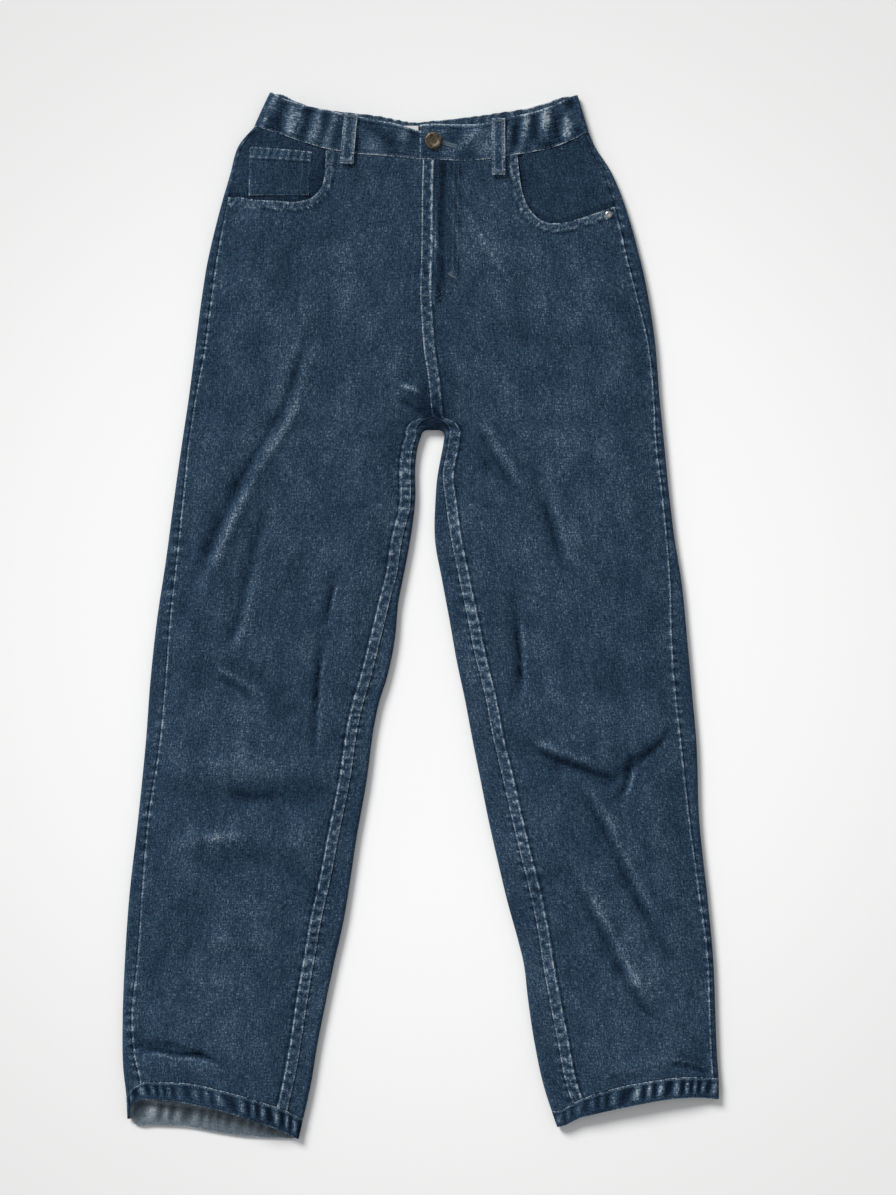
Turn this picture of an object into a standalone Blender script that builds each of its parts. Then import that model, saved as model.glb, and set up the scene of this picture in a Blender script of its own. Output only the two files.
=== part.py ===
# Mom jeans laid out flat on a surface, front up, waist towards +Y.
# Every piece of cloth is a thin shell under an outer surface worked out from the tables
# below. Lengths in the tables are millimetres. "across" runs from the wearer's right
# (negative) to the wearer's left, and "drop" runs down from the highest point of the waist.

import math

import bmesh
import bpy
import numpy as np

# Driving sizes
MM = 0.001
MID_ACROSS = 0.1556     # the middle of the whole width, which sits on X = 0
MID_DROP = 523.4758     # the middle of the whole length, which sits on Y = 0
CLOTH = 1.2             # one layer of denim
FOLDED = 2.6            # waistband and cuffs, denim folded on itself
SEAM = 0.4              # from piece to piece at a seam
END_GAP = 1.0           # from a panel to the waistband or cuff that finishes it
BACK_GAP = 1.8          # the same on the back, whose rows are longer
YOKE_GAP = 1.6          # across the back and round its fold
JOIN_GAP = 1.8          # between the back of the waistband and each front band
LAYER = 0.35            # from a piece to the piece that it lies on
FOLD = 4.0              # outer radius of the cloth where it turns round an edge
LEAST_INSET = FOLD + 1.2    # least distance of a seam from the edge, so that it stays on top
BAND_FOLD = 4.4         # the same for the thicker waistband
CUFF_FOLD = 4.5         # and for the cuffs
WAIST_FADE = 130.0      # how far down the front its rows follow the waistband's curve
HEM_FADE = 70.0         # how far up the legs their rows follow the hem's curve
HIP_ROWS, LEG_ROWS, YOKE_ROWS = 13, 23, 4
PANEL_COLUMNS = 13
TURN_ROWS = (-4.6, 3.0, 9.0, 14.0)  # outer ends of the rows that turn round the crotch, below it
LOFT_RUN = 42.0         # how far in from an edge the front has risen to its full height
FOLDS_RUN = 10.0        # the same for its folds
OUTLINE_PAST = 40.0     # how far the outline is carried on past the waist and the hems
BAND_HEIGHT = 38.0      # waistband
CUFF_HEIGHT = 20.0      # turned and stitched hem

# Outer edge of each side with the distance that the outseam lies inside it
RIGHT_OUTER = (
    # drop, across, inset
    (36, -166, 3), (58, -181, 3), (88, -190, 4), (128, -202, 6), (168, -212, 8),
    (208, -218.5, 9), (258, -225, 9), (308, -231.5, 6), (348, -237.5, 6), (404, -245.5, 8),
    (468, -254, 10), (528, -263, 12.5), (588, -269.5, 14.5), (648, -274, 13.5),
    (728, -282, 9.5), (808, -291, 12), (868, -295, 12), (928, -297.3, 8.5), (968, -297, 11),
    (1004, -293.5, 13.5), (1026, -292.5, 13.5),
)
LEFT_OUTER = (
    (41, 168, 3), (58, 174, 5), (88, 190, 8), (128, 207, 10), (168, 219.5, 12),
    (208, 228, 10), (248, 234, 6.5), (308, 239, 5), (348, 243, 7), (408, 249, 6),
    (448, 254, 7), (488, 260.5, 10.5), (548, 266.5, 15), (608, 272, 16), (648, 275.5, 15),
    (728, 278.5, 9), (808, 287, 6.5), (868, 292.5, 3.5), (928, 294.8, 2), (968, 296.5, 2),
    (985, 297.8, 2), (1006, 298, 2),
)
# Inner edge of each leg with the distance that the inseam lies inside it
RIGHT_INNER = (
    (344, 1.0, 0.8), (354, -2.2, 0.8), (370, -4.6, 1.2), (408, -5, 2.5), (428, -7, 6),
    (448, -10, 8), (488, -17.5, 7), (508, -21.5, 8.5), (548, -25.5, 14), (588, -34, 15.5),
    (608, -40.5, 15), (628, -45, 15.5), (688, -53.5, 16.5), (748, -64, 18), (788, -70, 19.5),
    (828, -76.5, 22), (868, -85.5, 20), (908, -94, 18.5), (948, -102, 16.5),
    (988, -109, 16.5), (1026, -117, 16), (1046, -121.5, 16),
)
LEFT_INNER = (
    (344, 24, 0.8), (354, 22.6, 1), (370, 19.5, 3), (388, 16.5, 6), (408, 15, 10),
    (448, 14.5, 16), (488, 21.5, 17), (528, 29, 18), (568, 36, 19), (608, 44.5, 20.5),
    (648, 52, 20.5), (688, 60, 22), (728, 68, 23), (768, 77, 23.5), (808, 86.5, 24),
    (848, 97.5, 21), (868, 102.5, 19), (908, 107.5, 21), (948, 113.5, 23), (988, 122, 22.5),
    (1018, 131, 22), (1034, 136.5, 22),
)
# The seam down the middle, front and back alike
CENTRE = (
    # drop, across
    (30, 2), (66, 2.5), (102, 1.6), (165, 1), (205, 0), (228, 1.5), (260, 4), (287, 8),
    (317, 11), (326, 12), (340, 12),
)
CROTCH_DROP = 326.0         # where the four panels meet
CROTCH_EDGE = 338.5         # the edge of the cloth between the legs
CROTCH_RADIUS = 6.0         # its rounding into each leg
CROTCH_ACROSS = (1.0, 24.0)
HIP_END, LEG_START = 332.0, 358.0   # rows at the outseam, above and below those that turn
HIP_FOOT = 320.5            # the back's last hip row, at its middle

# Upper and lower edge of the waistband
FRONT_TOP = (
    # across, drop
    (-150, 1), (-135, 8.5), (-120, 14), (-95, 20), (-70, 25), (-45, 30), (-25, 33.5),
    (-10, 38), (0, 40.5), (14, 41),
)
OVERLAP_TOP = (
    (-1, 35), (10, 34), (30, 34.5), (55, 34.3), (66, 33), (80, 28.5), (110, 23), (133, 15),
    (150, 6.5), (157, 4),
)
WAIST_SEAM = (
    (-166, 35.5), (-144, 42), (-130, 47.5), (-109, 54.5), (-95, 58.5), (-81, 61),
    (-64, 63.5), (-46, 65), (-25, 66.5), (0, 69), (20, 69.5), (41, 70.7), (70, 68.6),
    (87, 65.8), (110, 62.3), (133, 57), (148, 51), (168, 40.5),
)
BACK_TOP = (
    (-150, 1), (-135, 6.5), (-110, 15), (-85, 20), (-60, 22.5), (-40, 25), (-20, 29),
    (-5, 31.5), (10, 30), (30, 28), (50, 25.5), (80, 21.5), (100, 18.5), (120, 13.5),
    (140, 7.5), (157, 4),
)
BAND_TOP_ENDS = (-150.0, 157.0)
BAND_SEAM_ENDS = (-166.0, 168.0)
RIGHT_JOIN = 0.118          # where the elastic back band meets each front band, as a share
LEFT_JOIN = 0.885           # of the way across the front
OVERLAP_END = -0.5          # free end of the buttonhole side of the waistband
UNDERLAP_END = 13.0         # free end of the button side, under it
UNDERLAP_DIP = 3.4          # how far that end lies under the overlap

# Height of the front above the two folded edges
LOFT = (
    # drop, right, left
    (0, 5.0, 5.0), (60, 5.0, 5.0), (150, 4.5, 4.5), (300, 4.0, 4.0), (420, 4.0, 4.5),
    (600, 5.5, 5.5), (740, 5.5, 7.0), (860, 4.0, 4.5), (960, 5.0, 4.0), (1010, 8.0, 4.0),
    (1050, 9.0, 4.0),
)
# The largest folds, as soft ridges (height above 0) and troughs (below 0) along a line
FOLDS = (
    # across, drop, across, drop, half width, height
    (-110, 225, -155, 350, 9, 1.6), (-155, 350, -205, 470, 9, 1.8), (-205, 470, -232, 530, 8, 1.4),
    (-150, 330, -182, 395, 7, -1.6), (-182, 395, -212, 460, 8, -2.0), (-212, 460, -238, 530, 8, -1.8),
    (-150, 400, -187, 540, 7, -1.2), (-87, 487, -95, 530, 4, -1.8), (-97, 545, -104, 605, 4.5, -2.2),
    (-104, 605, -106, 665, 4.5, -1.6), (-210, 575, -160, 585, 10, -1.6), (-160, 585, -135, 620, 9, -1.4),
    (-230, 672, -110, 676, 14, 1.6), (-215, 703, -105, 706, 12, -2.0), (-225, 745, -120, 748, 12, 1.6),
    (-205, 768, -130, 772, 12, -1.2), (-250, 850, -270, 905, 7, -1.4), (-205, 850, -150, 848, 8, 1.2),
    (-287, 954, -250, 953, 5, -2.2), (-250, 953, -218, 962, 5, -2.4), (-218, 962, -190, 975, 6, -1.6),
    (-285, 966, -205, 974, 7, 1.4),
    (46, 135, 93, 193, 4, 0.9), (70, 240, 150, 262, 12, -1.2), (118, 215, 122, 250, 10, 1.2),
    (40, 345, 70, 375, 7, -1.8), (70, 375, 96, 404, 7, -1.8), (58, 345, 105, 395, 7, 1.2),
    (108, 375, 141, 456, 8, -1.8), (141, 456, 168, 501, 8, -1.6), (128, 380, 160, 450, 8, 1.2),
    (94, 508, 99, 584, 5, -2.4), (99, 584, 94, 612, 5, -1.6), (118, 572, 120, 607, 6, -1.4),
    (125, 600, 215, 640, 22, 2.2), (109, 652, 136, 673, 7, -1.8), (136, 673, 189, 688, 6, -2.8),
    (189, 688, 228, 660, 7, -2.2), (210, 668, 199, 706, 4, -2.4),
    (168, 715, 205, 790, 8, -1.6), (205, 790, 247, 866, 8, -1.8), (148, 780, 200, 877, 8, -1.6),
    (200, 877, 233, 921, 8, -1.6), (185, 755, 225, 840, 8, 1.2), (170, 800, 215, 890, 8, 1.2),
    (118, 797, 128, 850, 6, -1.2), (262, 968, 295, 978, 6, -2.0), (180, 980, 250, 965, 8, 1.2),
    (2, 250, 4, 300, 7, -1.4), (5, 300, 6, 315, 6, -1.4), (-20, 303, 0, 296, 6, 1.2),
)
# Gathers that the elastic makes at each end of the waistband, in the same form
GATHERS = (
    (-148, 12, -156, 34, 3.5, 1.0), (-138, 10, -141, 38, 3, -1.0), (-128, 12, -131, 44, 3, 1.0),
    (-112, 18, -118, 48, 4, -0.9), (-98, 22, -101, 52, 4, 0.8),
    (93, 30, 96, 58, 4, -1.0), (104, 26, 108, 56, 4, 1.0), (113, 24, 118, 55, 3.5, -1.2),
    (123, 20, 128, 52, 3.5, 1.2), (132, 17, 138, 50, 3, -1.6), (141, 13, 147, 46, 3, 1.2),
    (148, 8, 156, 40, 3, -1.2), (60, 38, 40, 55, 4, 0.9), (-40, 42, -12, 50, 5, -0.9),
)
BACK_GATHERS = 26           # waves along the elastic back of the waistband
GATHER_RISE = 0.9           # height of each, over its flat underside

# Cuffs: edges of the folded hem
RIGHT_CUFF = dict(
    outer=((1004, -293.5), (1026, -292.5)),
    inner=((1026, -117.0), (1046, -121.5)),
    front_top=((-293.5, 1004), (-288, 996), (-280, 990.5), (-254, 988), (-226, 989.5), (-198, 996),
               (-177, 1001.5), (-156, 1008), (-130, 1018.5), (-117, 1026)),
    front_bottom=((-292.5, 1026), (-289, 1014), (-283, 1007.5), (-270, 1005.5), (-254, 1006),
                  (-226, 1010), (-198, 1016), (-170, 1025), (-150, 1032), (-121.5, 1046)),
    back_bottom=((-292.5, 1026), (-286, 1031), (-265, 1032.5), (-235, 1034), (-200, 1040),
                 (-180, 1043), (-150, 1045), (-121.5, 1046)),
)
LEFT_CUFF = dict(
    outer=((985, 297.8), (1006, 298.0)),
    inner=((1018, 131.0), (1034, 136.5)),
    front_top=((131, 1018), (141, 1016), (150, 1011), (163, 1004), (182, 997.5), (230, 987),
               (257, 983.5), (285, 984), (297.8, 985)),
    front_bottom=((136.5, 1034), (146, 1031), (155, 1026), (171, 1021), (204, 1013.5), (237, 1007),
                  (277, 1004), (298, 1006)),
    back_bottom=((136.5, 1034), (150, 1029), (171, 1021), (204, 1013), (237, 1006.5),
                 (277, 1003.5), (298, 1006)),
)

# Pocket openings, from the waistband down and out past the outseam
RIGHT_POCKET = (
    (-94, 55), (-94.8, 79), (-97.6, 95), (-107, 106.5), (-121.4, 111.5), (-144, 110.5),
    (-165, 109.5), (-182, 106.5), (-204, 107),
)
LEFT_POCKET = (
    (96, 55), (98.6, 84), (102.5, 105), (110, 120.5), (122.4, 131), (140.7, 132.7),
    (163.7, 126.6), (189, 117.5), (212, 110),
)
COIN_POCKET = ((-170, 56), (-108, 62), (-111, 105), (-171, 105))   # its corners
COIN_THICK = 1.0
COIN_LIFT = 1.4             # of its top over the facing's outer surface
BACK_POCKET = dict(top=165.0, width=138.0, height=150.0, point=18.0, inner=42.0, taper=6.0)
POCKET_EASE = (4.0, 28.0)   # from the back pocket to where the back is lifted by it, and not
FACING_PAST = 8.0           # how far the cloth under a pocket opening goes on below it
FACING_INNER = 12.0         # and how far towards the middle of the front
YOKE_SIDE, YOKE_CENTRE = 112.0, 148.0       # drop of the yoke seam at the side and the middle

BELT_LOOP = dict(width=13.5, thick=1.7, arch=1.2, clear=0.65)
BELT_LOOPS = (
    # name, across at the top, drop, across at the foot, drop
    ("belt_loop_right", -69, 24.5, -73.5, 74),
    ("belt_loop_left", 77.5, 29, 77.8, 85),
)
BACK_LOOPS = (("belt_loop_back_right", -84), ("belt_loop_back_centre", 2.3), ("belt_loop_back_left", 88))
BACK_LOOP = dict(width=13.5, height=35.0, thick=1.5, flat=10.0, ramp=7.0)
BUTTON = dict(across=13.0, drop=51.0, radius=8.5, thick=2.6)
RIVET = dict(across=187.5, drop=124.0, radius=3.4, thick=0.9)
ZIP = dict(inset=2.0, width=22.0, top=72.0, foot=200.0, thick=1.0)
LABEL = dict(across=-8.8, width=13.5, top=36.5, foot=58.0, thick=0.5)

MATERIALS = {
    # base colour, roughness, metallic
    "denim": ((0.045, 0.078, 0.125, 1), 0.9, 0.0),
    "denim_dark": ((0.022, 0.040, 0.072, 1), 0.9, 0.0),
    "denim_faded": ((0.085, 0.125, 0.175, 1), 0.9, 0.0),
    "brass": ((0.20, 0.15, 0.08, 1), 0.45, 1.0),
    "nickel": ((0.55, 0.55, 0.53, 1), 0.35, 1.0),
    "label": ((0.75, 0.74, 0.70, 1), 0.8, 0.0),
}


# Curves and tables

def smooth(table, at, column=1):
    """A column of a table as a smooth curve through its rows, read at each value of the first."""
    rows = np.asarray(table, float)
    x, y = rows[:, 0], rows[:, column]
    slope = np.gradient(y, x)
    at = np.asarray(at, float)
    i = np.clip(np.searchsorted(x, at) - 1, 0, len(x) - 2)
    width = x[i + 1] - x[i]
    t = (at - x[i]) / width
    inside = np.clip(t, 0, 1)
    a, b = 1 - inside, inside
    value = (a * a * (1 + 2 * b) * y[i] + b * b * (3 - 2 * b) * y[i + 1]
             + a * a * b * width * slope[i] - a * b * b * width * slope[i + 1])
    return value + (t - inside) * (y[i + 1] - y[i])


def ease(t):
    """0 below 0, 1 above 1, with a smooth rise between."""
    t = np.clip(t, 0, 1)
    return t * t * (3 - 2 * t)


def mix(a, b, t):
    return a + (b - a) * t


def unit(vectors):
    length = np.linalg.norm(vectors, axis=-1, keepdims=True)
    return vectors / np.maximum(length, 1e-9)


def along(table, count):
    """Points at even distances along a smooth curve through (across, drop) points."""
    points = np.asarray(table, float)
    run = np.concatenate([[0], np.cumsum(np.linalg.norm(np.diff(points, axis=0), axis=1))])
    at = np.linspace(0, run[-1], count)
    return np.stack([smooth(np.column_stack([run, points[:, k]]), at) for k in (0, 1)], axis=-1)


# The outline seen from above

def edge_point(side, which, drop):
    """A point of a side's outer or inner edge and the direction out of the cloth there."""
    table = side[which]
    step = 2.0
    across = smooth(table, drop)
    lean = (smooth(table, drop + step) - smooth(table, drop - step)) / (2 * step)
    sign = side["sign"] if which == "outer" else -side["sign"]
    point = np.stack([across, np.asarray(drop, float)], axis=-1)
    out = unit(np.stack([np.full_like(across, sign), -sign * lean], axis=-1))
    return point, out


def inset_at(side, which, drop):
    """How far the outseam or inseam lies inside its edge."""
    return np.maximum(smooth(side[which], drop, 2), LEAST_INSET)


def seam_point(side, which, drop):
    """The outseam or inseam, which lies on top, just inside the edge."""
    point, out = edge_point(side, which, drop)
    return point - out * inset_at(side, which, drop)[..., None]


RIGHT = dict(sign=-1, outer=RIGHT_OUTER, inner=RIGHT_INNER, cuff=RIGHT_CUFF, pocket=RIGHT_POCKET,
             waist_end=BAND_SEAM_ENDS[0], hem=(1004.0, 1026.0))
LEFT = dict(sign=1, outer=LEFT_OUTER, inner=LEFT_INNER, cuff=LEFT_CUFF, pocket=LEFT_POCKET,
            waist_end=BAND_SEAM_ENDS[1], hem=(985.0, 1018.0))


def crotch_corner(side, count):
    """The rounded corner from the middle of the crotch edge into the side's leg."""
    near = CROTCH_ACROSS[0 if side["sign"] < 0 else 1]
    centre = np.array([near - side["sign"] * CROTCH_RADIUS, CROTCH_EDGE + CROTCH_RADIUS])
    turn = np.linspace(0, math.pi / 2, count)
    away = np.stack([side["sign"] * np.sin(turn), -np.cos(turn)], axis=-1)
    return centre + away * CROTCH_RADIUS, -away


def outline_paths():
    """The edges of the whole garment as three lines: each side, and round between the legs."""
    paths = []
    for side, top_end in ((RIGHT, BAND_TOP_ENDS[0]), (LEFT, BAND_TOP_ENDS[1])):
        drops = np.linspace(side["outer"][0][0], side["outer"][-1][0] + OUTLINE_PAST, 90)
        low = edge_point(side, "outer", drops)[0]
        top_drop = smooth(BACK_TOP, top_end)
        lean = (low[0] - [top_end, top_drop])
        paths.append(np.vstack([[top_end, top_drop] - lean, [top_end, top_drop], low]))
    legs = []
    for side in (RIGHT, LEFT):
        foot = side["inner"][-1][0] + OUTLINE_PAST
        drops = np.linspace(CROTCH_EDGE + CROTCH_RADIUS, foot, 80)[1:]
        legs.append(np.vstack([crotch_corner(side, 7)[0], edge_point(side, "inner", drops)[0]]))
    paths.append(np.vstack([legs[0][::-1], legs[1]]))
    return paths


STARTS = np.vstack([path[:-1] for path in outline_paths()])
ENDS = np.vstack([path[1:] for path in outline_paths()])


def from_lines(points, starts, ends):
    """Distance from each point to the nearest of some straight lines, and the near point."""
    flat = np.asarray(points, float).reshape(-1, 1, 2)
    run = ends - starts
    share = ((flat - starts) * run).sum(-1) / np.maximum((run * run).sum(-1), 1e-9)
    foot = starts + np.clip(share, 0, 1)[..., None] * run
    gap = np.linalg.norm(flat - foot, axis=-1)
    nearest = gap.argmin(1)
    rows = np.arange(len(flat))
    shape = np.shape(points)[:-1]
    return gap[rows, nearest].reshape(shape), foot[rows, nearest].reshape(shape + (2,))


def ridges(points, table):
    """Sum of the soft ridges and troughs of a table at each point."""
    height = np.zeros(np.shape(points)[:-1])
    for x0, d0, x1, d1, half, rise in table:
        gap, _ = from_lines(points, np.array([[x0, d0]]), np.array([[x1, d1]]))
        height += rise * np.exp(-((gap / half) ** 2))
    return height


def rise_of(points, folds=FOLDS):
    """Height of the front above its folded edges."""
    inside, _ = from_lines(points, STARTS, ENDS)
    right_loft, left_loft = (smooth(LOFT, points[..., 1], k) for k in (1, 2))
    loft = mix(right_loft, left_loft, ease((points[..., 0] + 12) / 40))
    return (loft * ease((inside - FOLD) / LOFT_RUN)
            + ridges(points, folds) * ease((inside - FOLD) / FOLDS_RUN))


def front_surface(points, radius=FOLD, folds=FOLDS):
    """The outer surface over plan points: (across, drop, height) and the outward direction."""
    points = np.asarray(points, float)
    inside, foot = from_lines(points, STARTS, ENDS)
    turn = np.clip((radius - inside) / radius, 0, 1)
    up = np.sqrt(1 - turn ** 2)
    out = unit(foot - points) * turn[..., None]
    step = 0.5
    rise = rise_of(points, folds)
    tilt = [(rise_of(points + shift, folds) - rise_of(points - shift, folds)) / (2 * step)
            for shift in (np.array([step, 0]), np.array([0, step]))]
    height = radius + radius * up + rise
    normal = np.stack([out[..., 0] - tilt[0] * up, out[..., 1] - tilt[1] * up, up], axis=-1)
    return np.concatenate([points, height[..., None]], axis=-1), unit(normal)


def edge_wrap(point, out, inset, radius, count, shift=None):
    """A seam on top, then points round a folded edge, to where the cloth meets the surface.

    The shift moves the part on top along the drop, to follow a waist or a hem that isn't level.
    """
    surface, normal = np.zeros((count + 1, 3)), np.zeros((count + 1, 3))
    for k, angle in enumerate([math.pi, *np.linspace(math.pi, 0, count)]):
        plan = point - out * (inset if k == 0 else radius - radius * math.sin(angle))
        if shift is not None and angle > math.pi / 2:
            plan = plan + [0, shift(*plan)]
        if k == 0:
            surface[k], normal[k] = front_surface(plan, radius)
            continue
        surface[k] = [*plan, radius - radius * math.cos(angle)]
        normal[k] = [*(out * math.sin(angle)), -math.cos(angle)]
    return surface, normal


# Meshes

def to_frame(points):
    """(across, drop, height) in millimetres to the model's own frame in metres."""
    points = np.asarray(points, float)
    return np.stack([points[..., 0] - MID_ACROSS, MID_DROP - points[..., 1], points[..., 2]],
                    axis=-1) * MM


def grid_faces(rows, columns, closed=False):
    faces = []
    for r in range(rows - 1):
        for c in range(columns if closed else columns - 1):
            after = (c + 1) % columns
            faces.append((r * columns + c, r * columns + after,
                          (r + 1) * columns + after, (r + 1) * columns + c))
    return faces


def add_piece(name, data, kind):
    """An object for one piece, with a material of its own."""
    colour, roughness, metallic = MATERIALS[kind]
    made = bpy.data.materials.new(name)
    made.use_nodes = True
    shader = made.node_tree.nodes["Principled BSDF"]
    shader.inputs["Base Color"].default_value = colour
    shader.inputs["Roughness"].default_value = roughness
    shader.inputs["Metallic"].default_value = metallic
    made.diffuse_color = colour
    data.materials.append(made)
    piece = bpy.data.objects.new(name, data)
    JEANS.objects.link(piece)
    return piece


def shell(name, surface, normal, faces, kind, thick=CLOTH):
    """Cloth of one thickness, or of one for each point, under an open outer surface."""
    points = to_frame(np.reshape(surface, (-1, 3)))
    outward = np.reshape(normal, (-1, 3))[[face[0] for face in faces]] * [1, -1, 1]
    a, b, c = (points[[face[k] for face in faces]] for k in range(3))
    facing_out = (np.cross(b - a, c - a) * outward).sum()
    mesh = bpy.data.meshes.new(name)
    mesh.from_pydata(points.tolist(), [], faces)
    work = bmesh.new()
    work.from_mesh(mesh)
    bmesh.ops.triangulate(work, faces=work.faces)
    if facing_out < 0:
        bmesh.ops.reverse_faces(work, faces=work.faces)
    work.to_mesh(mesh)
    work.free()
    mesh.shade_smooth()
    mesh.set_sharp_from_angle(angle=math.radians(40))
    piece = add_piece(name, mesh, kind)
    solid = piece.modifiers.new("cloth", "SOLIDIFY")
    solid.thickness = np.max(thick) * MM
    solid.offset = -1
    solid.use_quality_normals = True
    if np.ndim(thick):
        group = piece.vertex_groups.new(name="thickness")
        for index, value in enumerate(np.ravel(thick) / np.max(thick)):
            group.add([index], float(value), "REPLACE")
        solid.vertex_group = group.name
    return piece


def cut(piece, cutter):
    """Takes the cutter's shape out of a piece."""
    boolean = piece.modifiers.new("cut", "BOOLEAN")
    boolean.operation = "DIFFERENCE"
    boolean.solver = "EXACT"
    boolean.object = cutter


def add_plate(name, outline, low, high, kind):
    """A level plate on a plan outline, from one height to another."""
    curve = bpy.data.curves.new(name, "CURVE")
    curve.dimensions = "2D"
    curve.fill_mode = "BOTH"
    curve.extrude = (high - low) / 2 * MM
    spline = curve.splines.new("POLY")
    spline.points.add(len(outline) - 1)
    for point, place in zip(spline.points, outline):
        x, y, _ = to_frame((*place, 0.0))
        point.co = (x, y, 0, 1)
    spline.use_cyclic_u = True
    piece = add_piece(name, curve, kind)
    piece.location.z = (low + high) / 2 * MM
    return piece


def make_cutter(name, outline, low, high):
    """A plate as a closed mesh among the cutters."""
    plate = add_plate(name, outline, low, high, "denim")
    bpy.context.view_layer.update()
    mesh = bpy.data.meshes.new_from_object(plate.evaluated_get(bpy.context.evaluated_depsgraph_get()))
    work = bmesh.new()
    work.from_mesh(mesh)
    bmesh.ops.remove_doubles(work, verts=work.verts, dist=0.00001)
    work.to_mesh(mesh)
    work.free()
    piece = bpy.data.objects.new(name, mesh)
    piece.matrix_world = plate.matrix_world
    bpy.data.objects.remove(plate)
    CUTTERS.objects.link(piece)
    piece.hide_render = True
    piece.display_type = "WIRE"
    return piece


# Front panels

def row_heights(side):
    """Drops of a panel's rows at the outseam and at its inner edge, hips first, then leg."""
    waist = smooth(WAIST_SEAM, side["waist_end"]) + END_GAP
    middle = smooth(WAIST_SEAM, smooth(CENTRE, 69)) + END_GAP
    outer_hem, inner_hem = (drop - END_GAP for drop in side["hem"])
    hip = np.concatenate([np.linspace(waist, YOKE_SIDE, YOKE_ROWS),
                          np.linspace(YOKE_SIDE, HIP_END, HIP_ROWS - YOKE_ROWS + 1)[1:]])
    outer = np.concatenate([hip, np.linspace(LEG_START, outer_hem, LEG_ROWS)])
    inner = np.concatenate([np.linspace(middle, CROTCH_DROP, HIP_ROWS),
                            np.linspace(CROTCH_EDGE + CROTCH_RADIUS, inner_hem, LEG_ROWS)])
    return outer, inner


def end_shift(side, across, drop, waist, hem):
    """How far to move a point on top so that its row ends follow the waist and hem seams."""
    at_waist = smooth(WAIST_SEAM, across) + END_GAP - waist
    at_hem = smooth(side["cuff"]["front_top"], across) - END_GAP - hem
    return (at_waist * (1 - ease((drop - waist) / WAIST_FADE))
            + at_hem * ease(1 - (hem - drop) / HEM_FADE))


def front_plan(side):
    """Plan points of a front panel, a row for each height, from the outseam inwards."""
    outer_drops, inner_drops = row_heights(side)
    share = np.linspace(0, 1, PANEL_COLUMNS)
    start = seam_point(side, "outer", outer_drops)
    start[:, 0] -= side["sign"] * SEAM / 2
    finish = np.zeros_like(start)
    hips = slice(0, HIP_ROWS)
    finish[hips, 0] = smooth(CENTRE, inner_drops[hips]) + side["sign"] * SEAM / 2
    finish[hips, 1] = inner_drops[hips]
    finish[HIP_ROWS:] = seam_point(side, "inner", inner_drops[HIP_ROWS:])
    finish[HIP_ROWS:, 0] += side["sign"] * SEAM / 2
    turn = seam_point(side, "outer", CROTCH_EDGE + np.array(TURN_ROWS[2:]))
    turn[:, 0] -= side["sign"] * SEAM / 2
    start = np.insert(start, [HIP_ROWS, HIP_ROWS], turn, axis=0)
    corner, corner_out = crotch_corner(side, 4)
    round_it = corner - corner_out * (LEAST_INSET + SEAM / 2)
    finish[HIP_ROWS] = round_it[3]
    finish = np.insert(finish, [HIP_ROWS, HIP_ROWS], round_it[1:3], axis=0)
    plan = mix(start[:, None], finish[:, None], share[None, :, None])
    plan[:, :, 1] += end_shift(side, plan[:, :, 0], plan[:, :, 1], plan[0, :, 1], plan[-1, :, 1])
    return plan


def make_front(side, name):
    """A front panel with its pocket opening, and the plan of its points."""
    plan = front_plan(side)
    surface, normal = front_surface(plan)
    rows, columns = plan.shape[:2]
    panel = shell(name, surface, normal, grid_faces(rows, columns), "denim")
    start, end = side["pocket"][0], side["pocket"][-1]
    past = end[0] + OUTLINE_PAST * side["sign"]
    outline = [*along(side["pocket"], 22), (past, end[1]), (past, 0), (start[0], 0)]
    cut(panel, make_cutter(name + "_cutter", outline, -5, 60))
    return plan


def make_facing(side, plan, name):
    """The denim under the pocket opening, from the waistband down past the opening's edge."""
    columns = 7
    inner = side["sign"] * (abs(side["pocket"][0][0]) - FACING_INNER)
    foot = max(drop for _, drop in side["pocket"]) + FACING_PAST
    rows = 1 + int(np.argmax(plan[:, 0, 1] > foot))
    place = np.zeros((rows, columns, 2))
    for r in range(rows):
        line = plan[r, np.argsort(plan[r, :, 0])]
        place[r, :, 0] = np.linspace(plan[r, 0, 0], inner, columns)
        place[r, :, 1] = np.interp(place[r, :, 0], line[:, 0], line[:, 1])
    surface, normal = front_surface(place)
    surface = surface - normal * (CLOTH + LAYER)
    shell(name, surface, normal, grid_faces(rows, columns), "denim_dark")


def make_coin_pocket():
    """The small patch pocket on the facing, just clear of it, that the opening shows."""
    rows, columns = 4, 5
    a, b, c, d = (np.array(corner, float) for corner in COIN_POCKET)
    down = np.linspace(0, 1, rows)[:, None, None]
    share = np.linspace(0, 1, columns)[None, :, None]
    plan = mix(mix(a, b, share), mix(d, c, share), down)
    surface, normal = front_surface(plan)
    top = surface - normal * (CLOTH + LAYER - COIN_LIFT)
    shell("coin_pocket", top, normal, grid_faces(rows, columns), "denim_faded", COIN_THICK)


# Back panels

def floor_height(side, points):
    """The back lies on the surface, apart from where it passes over its own patch pocket."""
    pocket = pocket_outline(side)
    low, high = pocket.min(0), pocket.max(0)
    away = np.maximum(np.maximum(low - points, points - high), 0)
    near = np.linalg.norm(away, axis=-1)
    full, none = POCKET_EASE
    return (CLOTH + LAYER) * (1 - ease((near - full) / (none - full)))


def back_band_seam(across):
    """The seam between the back of the waistband and the cloth under it."""
    return smooth(BACK_TOP, across) + BAND_HEIGHT


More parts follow.
